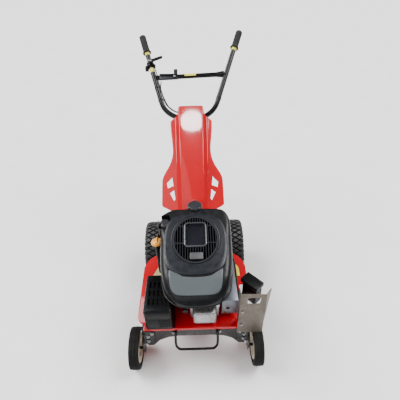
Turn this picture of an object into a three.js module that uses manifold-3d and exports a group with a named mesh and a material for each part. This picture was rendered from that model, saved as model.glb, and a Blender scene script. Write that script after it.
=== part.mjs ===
// Self-propelled walk-behind rotary mower.
// Millimetres, +Z up, +Y towards the operator. Inside the machine group y = 0 is the front axle;
// the group is then shifted so that the origin is the bottom centre of the whole machine.

import * as THREE from 'three';
import { mergeVertices } from 'three/addons/utils/BufferGeometryUtils.js';
import Module from 'manifold-3d';

const wasm = await Module();
wasm.setup();

// ---------------------------------------------------------------- driving dimensions

const GAP = 0.3;                 // clearance between pieces that touch
const RIM_GAP = 0.6;             // clearance between a rim and its tyre
const SHEET = 3;                 // pressed steel sheet

const FRONT_WHEEL_R = 85.8;
const FRONT_WHEEL_OUT = 275.5;   // outer face of a front tyre, from the centre line
const FRONT_WHEEL_WIDTH = 41.5;
const FRONT_RIM_R = 60;
const FRONT_AXLE_R = 6;

const REAR_AXLE_Y = 531;
const REAR_WHEEL_R = 142;
const REAR_WHEEL_OUT = 249;
const REAR_WHEEL_WIDTH = 86;
const REAR_RIM_R = 66;
const REAR_AXLE_R = 10;

const DECK_TOP = 225;
const DECK_HALF = 238;
const DECK_FRONT_HALF = 206;
const DECK_FRONT_Y = -3;
const DECK_REAR_Y = 640;
const TONGUE_HALF = 150;
const DECK_FLANGE = 14;
const CHAMBER_R = 188;
const CHAMBER_BOTTOM = 95;

const CRANK_X = 9;
const CRANK_Y = 252;
const CRANK_R = 12.5;
const BLADE_R = 177;
const BLADE_Z = 112.7;
const BELT_Z = 203;
const CRANK_PULLEY_R = 26;
const INPUT_PULLEY_R = 50;
const WORM_Y = REAR_AXLE_Y + 46;

const SHROUD_RIM_Z = 350;
const SHROUD_WALL = 3;
const SHOULDER = 30;              // rounding between the shroud's side and its top
const SCREEN_LEAN = 0.267;        // the top of the engine falls this much towards the front, in radians
const SCREEN_Z = 470.9;           // height of the intake screen at the crank
const SCREEN_HALF_WIDTH = 98;
const SCREEN_HALF_LENGTH = 113.5;
const BLADE_TOP = 116.7;
const CASE_R = 95;
const CASE_TOP = 340;
const HEAD_X = 36;               // the cylinder stands a little to the right of the crank
const FLYWHEEL_R = 80;

// Fittings of the engine, in its own plan with the crank at x = 0.
const FUEL_CAP_Y = 420;
const FUEL_CAP_Z = 484;
const TANK_TOP = 425;
const FILLER_FOOT = [-160, 268, 256];
const FILLER_AIM = [-0.04, 0.114, 0.993];
const FILLER_LENGTH = 162;
const PULL_FROM = [-133, 344, 472];
const PULL_AIM = [-0.12, 0.04, 0.992];

const SLOPE = THREE.MathUtils.degToRad(36);
const HOOD_FOOT = { y: 548, z: 380 };
const PIVOT = { y: 995, z: 672 };
const HOOD_TOP = 579;               // length of the hood up its slope
const HOOD_LIP = 9;
const BAR_R = 14;
const CROSSBAR_R = 13;
const GRIP_R = 19.5;
const GRIP_FLANGE_R = 25;
const GRIP_LENGTH = 130;
const CABLE_R = 3;

// Centre lines of the handlebar's legs in its own plane: X across, Y up the slope. The right leg
// is a little longer and leans out further.
const LEGS = {
  left: { foot: [-162, 100], tip: [-277, 550] },
  right: { foot: [151, 100], tip: [301, 567] },
};
const CROSSBAR_LEFT_Y = 260;
const CROSSBAR_RIGHT_Y = 273;
const THROTTLE_Y = 346;
const DRIVE_LEVER_PIVOT = [-87, 252];

// Middle of the machine's box, from the centre line between the wheels and the front axle.
const BODY_CENTRE_X = 11.45;
const BODY_CENTRE_Y = 689.02;

// ---------------------------------------------------------------- materials

function paint(color, roughness, metalness = 0) {
  return new THREE.MeshStandardMaterial({ color, roughness, metalness });
}

const RED = paint(0xd8202c, 0.3);
const BLACK_PAINT = paint(0x17181a, 0.4);
const BLACK_PLASTIC = paint(0x222427, 0.6);
const GREY_PLASTIC = paint(0x3a3d41, 0.5);
const RUBBER = paint(0x1b1b1c, 0.9);
const CREAM_PLASTIC = paint(0xe6dfc4, 0.5);
const ALUMINIUM = paint(0xb9bbbd, 0.35, 0.9);
const STEEL = paint(0x8d8f92, 0.4, 1);
const GALVANISED = paint(0x8f8578, 0.5, 0.8);
const SILVER_SHEET = paint(0xa4abb2, 0.4, 0.7);
const YELLOW_PLASTIC = paint(0xe8a22c, 0.5);
const FOAM = paint(0x8c7f63, 0.95);
const BRONZE = paint(0xa9793f, 0.4, 0.9);

// ---------------------------------------------------------------- geometry helpers

// A closed three.js geometry as a solid that can be joined and cut.
function solid(geometry) {
  const bare = geometry.index ? geometry.toNonIndexed() : geometry.clone();
  for (const name of Object.keys(bare.attributes)) {
    if (name !== 'position') bare.deleteAttribute(name);
  }
  const merged = mergeVertices(bare, 1e-3);
  const position = merged.attributes.position.array;
  const index = merged.index.array;
  const triangles = [];
  let volume = 0;
  for (let i = 0; i < index.length; i += 3) {
    const [a, b, c] = [index[i], index[i + 1], index[i + 2]];
    if (a === b || b === c || a === c) continue;
    triangles.push(a, b, c);
    const p = new THREE.Vector3().fromArray(position, a * 3);
    const q = new THREE.Vector3().fromArray(position, b * 3);
    const r = new THREE.Vector3().fromArray(position, c * 3);
    volume += p.dot(q.cross(r));
  }
  if (volume < 0) triangles.reverse();
  const mesh = new wasm.Mesh({
    numProp: 3,
    vertProperties: new Float32Array(position),
    triVerts: new Uint32Array(triangles),
  });
  mesh.merge();
  return new wasm.Manifold(mesh);
}

function geometryOf(body) {
  const mesh = body.getMesh();
  const geometry = new THREE.BufferGeometry();
  geometry.setAttribute('position', new THREE.BufferAttribute(new Float32Array(mesh.vertProperties), 3));
  geometry.setIndex(new THREE.BufferAttribute(new Uint32Array(mesh.triVerts), 1));
  geometry.computeVertexNormals();
  return geometry;
}

function join(...bodies) {
  return bodies.reduce((whole, body) => whole.add(body));
}

function cut(body, ...tools) {
  return tools.reduce((rest, tool) => rest.subtract(tool), body);
}

// A box between two corners.
function block(x0, x1, y0, y1, z0, z1) {
  const geometry = new THREE.BoxGeometry(x1 - x0, y1 - y0, z1 - z0);
  geometry.translate((x0 + x1) / 2, (y0 + y1) / 2, (z0 + z1) / 2);
  return solid(geometry);
}

// A cylinder along 'x', 'y' or 'z', from start to end, round the two other coordinates.
function rod(axis, radius, start, end, a, b, sides = 16) {
  const geometry = new THREE.CylinderGeometry(radius, radius, end - start, sides);
  geometry.translate(0, (start + end) / 2, 0);
  if (axis === 'z') geometry.rotateX(Math.PI / 2).translate(a, b, 0);
  if (axis === 'x') geometry.rotateZ(-Math.PI / 2).translate(0, a, b);
  if (axis === 'y') geometry.translate(a, 0, b);
  return solid(geometry);
}

// A profile of [radius, height] points turned round Z.
function turned(profile, sides = 32) {
  const points = profile.map(([radius, height]) => new THREE.Vector2(radius, height));
  return solid(new THREE.LatheGeometry(points, sides).rotateX(Math.PI / 2));
}

// The same profile closed on itself and turned round the X axis, for wheels.
function wheelTurned(profile, sides) {
  const closed = [...profile, profile[0]].map(([radius, x]) => new THREE.Vector2(radius, x));
  return solid(new THREE.LatheGeometry(closed, sides).rotateZ(-Math.PI / 2));
}

// A flat outline in XY raised from z0 to z1.
function raised(outline, z0, z1, curveSegments = 8) {
  const options = { depth: z1 - z0, bevelEnabled: false, curveSegments };
  return solid(new THREE.ExtrudeGeometry(outline, options).translate(0, 0, z0));
}

// A flat outline in XY raised from z0 to z1 with its upper edge rounded off.
function domed(outline, z0, z1, round, curveSegments = 8) {
  const options = {
    depth: z1 - z0,
    bevelThickness: round,
    bevelSize: round,
    bevelOffset: -round,
    bevelSegments: 2,
    curveSegments,
  };
  const pillow = solid(new THREE.ExtrudeGeometry(outline, options).translate(0, 0, z0 - round));
  return pillow.intersect(block(-900, 900, -900, 1600, z0, z1 + 1));
}

function polygon(points) {
  return new THREE.Shape(points.map(([x, y]) => new THREE.Vector2(x, y)));
}

function roundedBox(x0, x1, y0, y1, r) {
  const shape = new THREE.Shape();
  shape.moveTo(x0 + r, y0);
  shape.lineTo(x1 - r, y0);
  shape.absarc(x1 - r, y0 + r, r, -Math.PI / 2, 0);
  shape.lineTo(x1, y1 - r);
  shape.absarc(x1 - r, y1 - r, r, 0, Math.PI / 2);
  shape.lineTo(x0 + r, y1);
  shape.absarc(x0 + r, y1 - r, r, Math.PI / 2, Math.PI);
  shape.lineTo(x0, y0 + r);
  shape.absarc(x0 + r, y0 + r, r, Math.PI, Math.PI * 1.5);
  return shape;
}

// A round bar along a smooth curve through points.
function bar(points, radius, steps, sides = 12) {
  const path = new THREE.CatmullRomCurve3(points.map((p) => new THREE.Vector3(...p)), false, 'centripetal');
  return barAlong(path, radius, steps, sides);
}

function barAlong(path, radius, steps, sides = 12) {
  const section = new THREE.Shape();
  for (let i = 0; i < sides; i += 1) {
    const angle = (i / sides) * Math.PI * 2;
    const x = radius * Math.cos(angle);
    const y = radius * Math.sin(angle);
    if (i === 0) section.moveTo(x, y);
    else section.lineTo(x, y);
  }
  return solid(new THREE.ExtrudeGeometry(section, { steps, extrudePath: path, bevelEnabled: false }));
}

// Turns a body built round the origin: angles in radians about X then Z, then moves it.
function placed(body, { turnX = 0, turnZ = 0, at = [0, 0, 0] }) {
  const matrix = new THREE.Matrix4().makeTranslation(...at);
  matrix.multiply(new THREE.Matrix4().makeRotationZ(turnZ));
  matrix.multiply(new THREE.Matrix4().makeRotationX(turnX));
  return body.transform(matrix.elements);
}

// Stands an outline drawn as (Y, Z) and raised along X in its place.
function sideways(body) {
  return body.transform(new THREE.Matrix4().set(
    0, 0, 1, 0,
    1, 0, 0, 0,
    0, 1, 0, 0,
    0, 0, 0, 1,
  ).elements);
}

// Turns a body built along +Z so that it runs along a direction from a point.
function aimed(body, from, direction) {
  const turn = new THREE.Quaternion().setFromUnitVectors(
    new THREE.Vector3(0, 0, 1),
    new THREE.Vector3(...direction).normalize(),
  );
  const matrix = new THREE.Matrix4().compose(new THREE.Vector3(...from), turn, new THREE.Vector3(1, 1, 1));
  return body.transform(matrix.elements);
}

function part(name, body, material) {
  const mesh = new THREE.Mesh(geometryOf(body), material);
  mesh.name = name;
  return mesh;
}

function group(...children) {
  const holder = new THREE.Group();
  holder.add(...children);
  return holder;
}

// ---------------------------------------------------------------- deck and front axle

// Half-symmetric plan of the deck plate, drawn a distance inside its edge.
function deckOutline(inset) {
  const right = [
    [DECK_FRONT_HALF - inset, DECK_FRONT_Y + inset],
    [DECK_FRONT_HALF + 2 - inset, 22 + inset],
    [DECK_HALF - 8 - inset, 38 + inset],
    [DECK_HALF - inset, 52 + inset],
    [DECK_HALF - inset, 318],
    [DECK_HALF - 8 - inset, 346 - inset],
    [DECK_HALF - 21 - inset, 371 - inset],
    [194 - inset, 393 - inset],
    [TONGUE_HALF - inset, 400 - inset],
    [TONGUE_HALF - inset, DECK_REAR_Y - inset],
  ];
  const left = right.map(([x, y]) => [-x, y]).reverse();
  return polygon([...right, ...left]);
}

function makeDeck() {
  const plateBottom = DECK_TOP - SHEET - 1;
  const flangeBottom = DECK_TOP - DECK_FLANGE;
  const tray = cut(
    raised(deckOutline(0), flangeBottom, DECK_TOP),
    raised(deckOutline(SHEET), flangeBottom - 1, plateBottom),
  );
  const chamber = cut(
    rod('z', CHAMBER_R, CHAMBER_BOTTOM, DECK_TOP - 1, CRANK_X, CRANK_Y, 36),
    rod('z', CHAMBER_R - SHEET, CHAMBER_BOTTOM - 1, plateBottom, CRANK_X, CRANK_Y, 36),
  );
  const sideNotch = raised(roundedBox(196, 260, 92, 208, 14), flangeBottom - 1, DECK_TOP + 1, 4);
  const discharge = block(100, 260, CRANK_Y - 167, CRANK_Y - 42, CHAMBER_BOTTOM + 22, flangeBottom - 6);
  const beltSlot = block(-62, 78, CRANK_Y + 153, CRANK_Y + 213, BELT_Z - 14, BELT_Z + 13);
  const crankHole = rod('z', CRANK_R + 3, plateBottom - 3, DECK_TOP + 1, CRANK_X, CRANK_Y);
  const inputHole = rod('z', 14, plateBottom - 3, DECK_TOP + 1, 0, WORM_Y);
  return part(
    'deck_shell',
    cut(join(tray, chamber), sideNotch, discharge, beltSlot, crankHole, inputHole),
    RED,
  );
}

function makeFrontBeam() {
  const face = polygon([
    [-203, 209], [-203, 100], [-178, 100], [-150, 136], [-112, 156], [-70, 164],
    [70, 164], [112, 156], [150, 136], [178, 100], [203, 100], [203, 209],
  ]);
  const web = placed(raised(face, 0, SHEET), { turnX: Math.PI / 2, at: [0, 2 + SHEET, 0] });
  const ledge = block(-203, 203, 2, 26, 206, 209);
  const outline = [
    [-82, 3, 188], [-82, -20, 181], [-79, -44, 172], [-68, -56, 168], [-50, -59, 167],
    [56, -59, 167], [74, -56, 168], [85, -44, 172], [88, -20, 181], [88, 3, 188],
  ];
  const loop = cut(bar(outline, 5, 26, 8), block(-200, 200, 2 - GAP, 20, 150, 220));
  return group(
    part('front_beam', join(web, ledge), BLACK_PAINT),
    part('front_bar', loop, BLACK_PAINT),
  );
}

// The bracket that bolts to the beam and carries a stub axle. side is -1 or +1.
function makeWheelBracket(name, side) {
  const plate = polygon([
    [-2, 205], [-2, 184], [-30, 160], [-30, 120], [-14, 70], [14, 70], [46, 120], [46, 205],
  ]);
  const upright = sideways(raised(plate, 214, 219));
  const tab = block(168, 215, -2.5, 2 - GAP, 118, 205);
  const axle = rod('x', FRONT_AXLE_R, 216, FRONT_WHEEL_OUT - 6, 0, FRONT_WHEEL_R, 20);
  const beamSlot = block(160, 213.7, 1.7, 60, 60, 210);
  const bracket = join(cut(upright, beamSlot), tab, axle);
  return part(name, side > 0 ? bracket : bracket.mirror([1, 0, 0]), BLACK_PAINT);
}

// A plain wheel turned round X with its outer face towards +X.
function makeFrontWheel(name, side) {
  const half = FRONT_WHEEL_WIDTH / 2;
  const rim = wheelTurned([
    [FRONT_AXLE_R + GAP, -half + 3], [15, -half + 3], [17, -8], [46, -5], [FRONT_RIM_R - 7, -half + 4],
    [FRONT_RIM_R - RIM_GAP, -half + 3], [FRONT_RIM_R - RIM_GAP, half - 3], [FRONT_RIM_R - 7, half - 4],
    [46, 5], [17, 8], [15, half - 3], [FRONT_AXLE_R + GAP, half - 3],
  ], 16);
  const tyre = wheelTurned([
    [FRONT_RIM_R, -half + 3], [FRONT_WHEEL_R - 7, -half], [FRONT_WHEEL_R - 1.5, -half + 4],
    [FRONT_WHEEL_R, -half + 9], [FRONT_WHEEL_R, half - 9], [FRONT_WHEEL_R - 1.5, half - 4],
    [FRONT_WHEEL_R - 7, half], [FRONT_RIM_R, half - 3],
  ], 32);
  const wheel = group(
    part(`front_rim_${name}`, rim, CREAM_PLASTIC),
    part(`front_tyre_${name}`, tyre, RUBBER),
  );
  wheel.position.set(side * (FRONT_WHEEL_OUT - half), 0, FRONT_WHEEL_R);
  return wheel;
}

// ---------------------------------------------------------------- rear drive

function makeRearWheel(name, side) {
  const half = REAR_WHEEL_WIDTH / 2;
  const rim = wheelTurned([
    [REAR_AXLE_R + GAP, -22], [18, -22], [18, -5], [REAR_RIM_R - 12, -5], [REAR_RIM_R - 8, -half + 8],
    [REAR_RIM_R - RIM_GAP, -half + 8], [REAR_RIM_R - RIM_GAP, half - 8], [REAR_RIM_R - 8, half - 8],
    [REAR_RIM_R - 12, 5], [18, 5], [18, 22], [REAR_AXLE_R + GAP, 22],
  ], 16);
  const tyre = wheelTurned([
    [REAR_RIM_R, -half + 10], [REAR_RIM_R + 18, -half + 2], [REAR_WHEEL_R - 30, -half],
    [REAR_WHEEL_R - 8, -half + 5], [REAR_WHEEL_R - 1, -half + 18], [REAR_WHEEL_R, 0],
    [REAR_WHEEL_R - 1, half - 18], [REAR_WHEEL_R - 8, half - 5], [REAR_WHEEL_R - 30, half],
    [REAR_RIM_R + 18, half - 2], [REAR_RIM_R, half - 10],
  ], 32);
  const wheel = group(
    part(`rear_rim_${name}`, rim, CREAM_PLASTIC),
    part(`rear_tyre_${name}`, tyre, RUBBER),
  );
  wheel.position.set(side * (REAR_WHEEL_OUT - half), 0, 0);
  return wheel;
}

// The closed gear case, the worm and wheel inside it, and the axle that carries both rear wheels.
function makeRearDrive() {
  const wormWheelR = 34;
  const caseTop = 190 - REAR_WHEEL_R;
  const wormAt = WORM_Y - REAR_AXLE_Y;
  const outer = block(-46, 46, -48, 74, -48, caseTop);
  const inner = block(-38, 38, -40, 66, -40, caseTop - 8);
  const drain = rod('z', 5, -50, -39, 0, 20, 12);
  const feet = join(
    block(-76, 76, 60, 74, caseTop - 16, caseTop - 2),
    block(-76, -62, 60, 74, caseTop - 16, 78.5),
    block(62, 76, 60, 74, caseTop - 16, 78.5),
  );
  const housing = cut(
    join(outer, feet),
    inner,
    rod('x', REAR_AXLE_R + 0.6, -60, 60, 0, 0),
    rod('z', 8.6, 30, caseTop + 5, 0, wormAt),
    drain,
  );
  const axle = rod('x', REAR_AXLE_R, -REAR_WHEEL_OUT + 10, REAR_WHEEL_OUT - 10, 0, 0);
  const wormWheel = cut(
    rod('x', wormWheelR, -10, 10, 0, 0, 32),
    rod('x', REAR_AXLE_R + GAP, -20, 20, 0, 0),
  );
  const worm = join(
    rod('z', 11, -24, 24, 0, wormAt),
    rod('z', 8, -38, BELT_Z + 9 - REAR_WHEEL_R, 0, wormAt),
  );
  const drive = group(
    part('gearbox_housing', housing, ALUMINIUM),
    part('axle_shaft', axle, STEEL),
    part('worm_wheel', wormWheel, BRONZE),
    part('worm_shaft', worm, STEEL),
    makeRearWheel('left', -1),
    makeRearWheel('right', 1),
  );
  drive.position.set(0, REAR_AXLE_Y, REAR_WHEEL_R);
  return drive;
}

// A grooved pulley round Z at the origin, bored for its shaft.
function pulley(radius, bore, half) {
  const profile = [
    [bore, -half], [radius, -half], [radius - 6, -1.5], [radius - 6, 1.5],
    [radius, half], [bore, half], [bore, -half],
  ];
  return turned(profile, 16);
}

function makeBelt() {
  const small = { x: CRANK_X, y: CRANK_Y, radius: CRANK_PULLEY_R - 6 + GAP };
  const large = { x: 0, y: WORM_Y, radius: INPUT_PULLEY_R - 6 + GAP };
  const dx = large.x - small.x;
  const dy = large.y - small.y;
  const along = Math.atan2(dy, dx);
  const quarter = Math.PI / 2 + Math.asin((large.radius - small.radius) / Math.hypot(dx, dy));
  const loop = (grow) => {
    const shape = new THREE.Shape();
    shape.absarc(large.x, large.y, large.radius + grow, along - quarter, along + quarter);
    shape.absarc(small.x, small.y, small.radius + grow, along + quarter, along - quarter + Math.PI * 2);
    return shape;
  };
  const belt = loop(5.5);
  belt.holes.push(loop(0));
  return part('drive_belt', raised(belt, BELT_Z - 1.2, BELT_Z + 1.2, 8), RUBBER);
}

// The tension pulley on its swinging arm, on the right of the belt, standing clear of it.
function makeIdler() {
  const pin = [92, 560];
  const wheelAt = [68, 505];
  const armShape = new THREE.Shape();
  const along = Math.atan2(wheelAt[1] - pin[1], wheelAt[0] - pin[0]);
  armShape.absarc(pin[0], pin[1], 9, along + Math.PI / 2, along + Math.PI * 1.5);
  armShape.absarc(wheelAt[0], wheelAt[1], 7, along - Math.PI / 2, along + Math.PI / 2);
  const arm = join(
    raised(armShape, 212, 216, 8),
    rod('z', 8, 198, DECK_TOP - SHEET - 1 - GAP, pin[0], pin[1], 20),
    rod('z', 4, 195, 213, wheelAt[0], wheelAt[1], 16),
  );
  const roller = placed(pulley(17, 4 + GAP, 5), { at: [...wheelAt, BELT_Z] });
  return group(part('idler_arm', arm, STEEL), part('idler_pulley', roller, BLACK_PLASTIC));
}

// ---------------------------------------------------------------- engine

// Edge of the shroud in the engine's own plan, all the way round from its front.
const SHROUD_EDGE = [
  [0, 1], [40, 3], [80, 14], [112, 41], [133, 76], [147, 150], [152, 220], [153, 300],
  [150, 356], [132, 394], [97, 408], [0, 410], [-62, 408], [-104, 399], [-147, 372], [-163, 338],
  [-162, 310], [-150, 284], [-148, 220], [-144, 150], [-130, 76], [-111, 41], [-80, 14], [-40, 3],
];

// Height of the shroud along its middle: a steep front panel below a gently sloping top.
const SHROUD_PROFILE = [
  [-10, 352], [1, 364], [10, 377], [25, 386], [92, 422], [143, 436], [362, 500], [412, 514],
];

function shroudHeight(y) {
  const next = Math.max(SHROUD_PROFILE.findIndex(([at]) => at >= y), 1);
  const [y0, z0] = SHROUD_PROFILE[next - 1];
  const [y1, z1] = SHROUD_PROFILE[next];
  return z0 + ((y - y0) / (y1 - y0)) * (z1 - z0);
}

// A closed smooth loop of [x, y] points through corner points.
function smoothLoop(corners, count) {
  const curve = new THREE.CatmullRomCurve3(corners.map(([x, y]) => new THREE.Vector3(x, y, 0)), true);
  return curve.getSpacedPoints(count).slice(0, count).map(({ x, y }) => [x, y]);
}

// The same loop moved inwards, square to itself.
function shrunk(loop, inset) {
  return loop.map(([x, y], i) => {
    const [x0, y0] = loop[(i + loop.length - 1) % loop.length];
    const [x1, y1] = loop[(i + 1) % loop.length];
    const length = Math.hypot(x1 - x0, y1 - y0);
    return [x - ((y1 - y0) / length) * inset, y + ((x1 - x0) / length) * inset];
  });
}

// A solid cap inside a loop: a wall up from a flat bottom, a rounded shoulder and a top whose
// height follows heightAt(y).
function crowned(loop, bottom, heightAt) {
  const shoulderSteps = 4;
  const rings = [loop.map(([x, y]) => [x, y, bottom])];
  for (let i = 0; i <= shoulderSteps; i += 1) {
    const turn = (i / shoulderSteps) * (Math.PI / 2);
    const edge = shrunk(loop, SHOULDER * (1 - Math.cos(turn)));
    rings.push(edge.map(([x, y]) => {
      const top = heightAt(y);
      const fall = Math.min(SHOULDER, (top - bottom) * 0.55) * (1 - Math.sin(turn));
      return [x, y, top - fall];
    }));
  }
  const crest = rings[rings.length - 1];
  for (const scale of [0.65, 0.34, 0.12]) {
    rings.push(crest.map(([x, y]) => {
      const inward = CRANK_Y + (y - CRANK_Y) * scale;
      return [x * scale, inward, heightAt(inward)];
    }));
  }
  const count = loop.length;
  const corners = [...rings.flat(), [0, CRANK_Y, heightAt(CRANK_Y)], [0, CRANK_Y, bottom]];
  const topCentre = rings.length * count;
  const lastRing = topCentre - count;
  const faces = [];
  for (let i = 0; i < count; i += 1) {
    const j = (i + 1) % count;
    for (let base = 0; base < lastRing; base += count) {
      faces.push(base + i, base + j, base + count + j, base + i, base + count + j, base + count + i);
    }
    faces.push(lastRing + i, lastRing + j, topCentre, j, i, topCentre + 1);
  }
  const geometry = new THREE.BufferGeometry();
  geometry.setAttribute('position', new THREE.Float32BufferAttribute(corners.flat(), 3));
  geometry.setIndex(faces);
  return solid(geometry);
}

// Places a body drawn on the intake screen's own sloping plane.
function onScreen(body) {
  return placed(body, { turnX: SCREEN_LEAN, at: [0, CRANK_Y, SCREEN_Z] });
}

function screenOval(grow) {
  const shape = new THREE.Shape();
  shape.absellipse(0, 0, SCREEN_HALF_WIDTH + grow, SCREEN_HALF_LENGTH + grow, 0, Math.PI * 2);
  return shape;
}

// The engine is drawn with its crank at x = 0; y is the machine's own.
function makeShroud() {
  const edge = smoothLoop(SHROUD_EDGE, 52);
  const collar = polygon(smoothLoop([
    [0, -166], [62, -157], [111, -130], [129, -88], [132, -20], [127, 52], [104, 104], [56, 126],
    [0, 130], [-56, 126], [-104, 104], [-127, 52], [-132, -20], [-129, -88], [-111, -130], [-62, -157],
  ], 40));
  const outer = join(crowned(edge, SHROUD_RIM_Z, shroudHeight), onScreen(domed(collar, -14, 0, 4)));
  const pocket = (grow) => {
    const plan = roundedBox(-156 - grow, -108 + grow, 312 - grow, 372 + grow, 10);
    return raised(plan, 448 - grow, 540, 3);
  };
  const hollow = cut(
    crowned(shrunk(edge, SHROUD_WALL), SHROUD_RIM_Z - 1, (y) => shroudHeight(y) - SHROUD_WALL),
    pocket(SHROUD_WALL),
  );
  const shell = cut(
    outer,
    hollow,
    pocket(0),
    onScreen(raised(screenOval(GAP), -30, 5, 10)),
    rod('z', 36, FUEL_CAP_Z - 6, 540, 0, FUEL_CAP_Y, 24),
    rod('z', 22, SHROUD_RIM_Z - 5, 540, 0, FUEL_CAP_Y, 24),
    aimed(rod('z', 26, FILLER_LENGTH - 4, 260, 0, 0), FILLER_FOOT, FILLER_AIM),
    aimed(rod('z', 8.5, -60, 0, 0, 0, 12), PULL_FROM, PULL_AIM),
  );
  return part('engine_shroud', shell, GREY_PLASTIC);
}

// Slatted air intake over the flywheel, with a shallow square pad in its middle.
function makeScreen() {
  const plate = domed(screenOval(0), -8, 4, 5, 10);
  const slots = [];
  const pitch = 9.6;
  const rows = [[-100, -40], [-32, 60], [68, 104]];
  const padHalf = 46;
  for (let i = -9; i <= 9; i += 1) {
    const x = i * pitch;
    const reach = (SCREEN_HALF_LENGTH - 10) * Math.sqrt(1 - (x / SCREEN_HALF_WIDTH) ** 2);
    for (const [low, high] of rows) {
      const start = Math.max(low, -reach);
      const end = Math.min(high, reach);
      const underPad = Math.abs(x) < padHalf + 4 && high > -40;
      if (end - start > 8 && !underPad) slots.push(block(x - 3, x + 3, start, end, -20, 20));
    }
  }
  const recess = raised(roundedBox(-padHalf, padHalf, -37, 78, 14), 0, 10, 4);
  return part('starter_grille', onScreen(cut(plate, ...slots, recess)), BLACK_PLASTIC);
}

function makeEngineBlock() {
  const headX = HEAD_X - CRANK_X;
  const caseBottom = DECK_TOP + GAP;
  const body = join(
    rod('z', CASE_R, caseBottom, CASE_TOP, 0, CRANK_Y, 28),
    block(headX - 46, headX + 46, 96, CRANK_Y, 236, 326),
  );
  const crankcase = cut(body, rod('z', CRANK_R + 0.6, caseBottom - 5, CASE_TOP + 4, 0, CRANK_Y, 20));
  const head = [];
  for (let i = 0; i < 4; i += 1) {
    const y = 52 + i * 12;
    head.push(block(headX - 57, headX + 57, y, y + 5, 238, 330));
  }
  const core = block(headX - 48, headX + 48, 49, 96 - GAP, 244, 326);
  const cover = join(
    block(headX - 56, headX + 56, 38, 49 - GAP, 240, 328),
    placed(domed(roundedBox(-37, 37, -34, 34, 12), 0, 38, 9, 4), {
      turnX: Math.PI / 2,
      at: [headX, 39, 275],
    }),
  );
  const plug = join(
    rod('y', 11, 20, 49 - GAP, headX - 74, 302, 16),
    rod('y', 7, 44, 90, headX - 68, 302, 12),
  );
  const plugCap = cut(plug, block(headX - 57 - GAP, headX + 60, 0, 100, 230, 340));
  const shaft = join(
    rod('z', CRANK_R, BLADE_TOP + GAP, 420, 0, CRANK_Y, 20),
    rod('z', 30, BLADE_TOP + GAP, 126, 0, CRANK_Y, 20),
    rod('z', 5.5, 106, 120, 0, CRANK_Y, 16),
    rod('z', 12, 103, BLADE_Z - GAP, 0, CRANK_Y, 6),
  );
  const flywheel = cut(
    rod('z', FLYWHEEL_R, 378, 408, 0, CRANK_Y, 28),
    rod('z', CRANK_R + GAP, 370, 410, 0, CRANK_Y, 20),
  );
  const pulleyOnCrank = placed(pulley(CRANK_PULLEY_R, CRANK_R + GAP, 6), { at: [0, CRANK_Y, BELT_Z] });
  return group(
    part('crankcase', crankcase, ALUMINIUM),
    part('cylinder_head', join(core, ...head), ALUMINIUM),
    part('rocker_cover', cover, ALUMINIUM),
    part('spark_plug_cap', plugCap, BLACK_PLASTIC),
    part('crankshaft', shaft, STEEL),
    part('flywheel', flywheel, STEEL),
    part('crank_pulley', pulleyOnCrank, STEEL),
  );
}

// Flat bar with a lift at each tip, bored for the crank bolt.
function makeBlade() {
  const flat = raised(polygon([
    [-BLADE_R, -22], [-BLADE_R + 22, -27], [BLADE_R - 90, -27], [BLADE_R - 4, -27],
    [BLADE_R, 22], [BLADE_R - 22, 27], [-BLADE_R + 90, 27], [-BLADE_R + 4, 27],
  ]), 0, 4);
  const lift = (side) => block(
    Math.min(side * 110, side * 165),
    Math.max(side * 110, side * 165),
    side > 0 ? 17 : -27,
    side > 0 ? 27 : -17,
    3,
    16,
  );
  const blade = cut(join(flat, lift(1), lift(-1)), rod('z', 6, -5, 25, 0, 0, 16));
  return part('blade', placed(blade, { turnZ: 0.5, at: [0, CRANK_Y, BLADE_Z] }), STEEL);
}

// Fuel tank behind the shroud, with its filler cap standing in a scallop of the shroud.
function makeFuel() {
  const tank = join(
    domed(roundedBox(-84, 84, 412, 486, 18), 306, TANK_TOP, 12, 4),
    rod('z', 20, TANK_TOP - 8, FUEL_CAP_Z - GAP, 0, FUEL_CAP_Y),
  );
  const cap = turned([[0, 0], [33, 0], [34, 8], [32, 28], [24, 35], [0, 37]], 24);
  return group(
    part('fuel_tank', tank, BLACK_PLASTIC),
    part('fuel_cap', placed(cap, { at: [0, FUEL_CAP_Y, FUEL_CAP_Z] }), BLACK_PLASTIC),
  );
}

// Oil filler tube leaning out of the crankcase, and the dipstick that slides into it.
function makeOilFiller() {
  const length = FILLER_LENGTH;
  const tube = turned([[0, 0], [11, 0], [11, length], [0, length]], 14);
  const elbow = rod('x', 9, FILLER_FOOT[0], -80, FILLER_FOOT[1], FILLER_FOOT[2] + 4, 16);
  const stickWay = aimed(rod('z', 7, 4, length + 2, 0, 0, 14), FILLER_FOOT, FILLER_AIM);
  const clearOfCase = rod('z', CASE_R + 1, 200, CASE_TOP, 0, CRANK_Y, 28);
  const wing = block(-3.5, 3.5, -24, 24, length + 9, length + 26)
    .intersect(rod('z', 22, length, length + 26, 0, 0, 20));
  const knob = turned([
    [0, length + GAP], [21, length + GAP], [24, length + 5], [22, length + 14], [0, length + 18],
  ], 20);
  const stick = join(knob, wing, rod('z', 2.5, 14, length + 2, 0, 0, 10));
  return group(
    part(
      'oil_filler_tube',
      cut(join(aimed(tube, FILLER_FOOT, FILLER_AIM), elbow), stickWay, clearOfCase),
      BLACK_PLASTIC,
    ),
    part('dipstick', aimed(stick, FILLER_FOOT, FILLER_AIM), YELLOW_PLASTIC),
  );
}

// Pull grip of the starter: a loaf that fills its pocket at the shroud's rear corner, with the
// first stretch of its rope.
function makeRecoilHandle() {
  const grip = domed(roundedBox(-152, -112, 316, 368, 9), 449, 484, 7, 4);
  const rope = aimed(rod('z', 2.5, -112, -10, 0, 0, 8), PULL_FROM, PULL_AIM);
  return part('recoil_handle', join(grip, rope), BLACK_PLASTIC);
}

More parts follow.
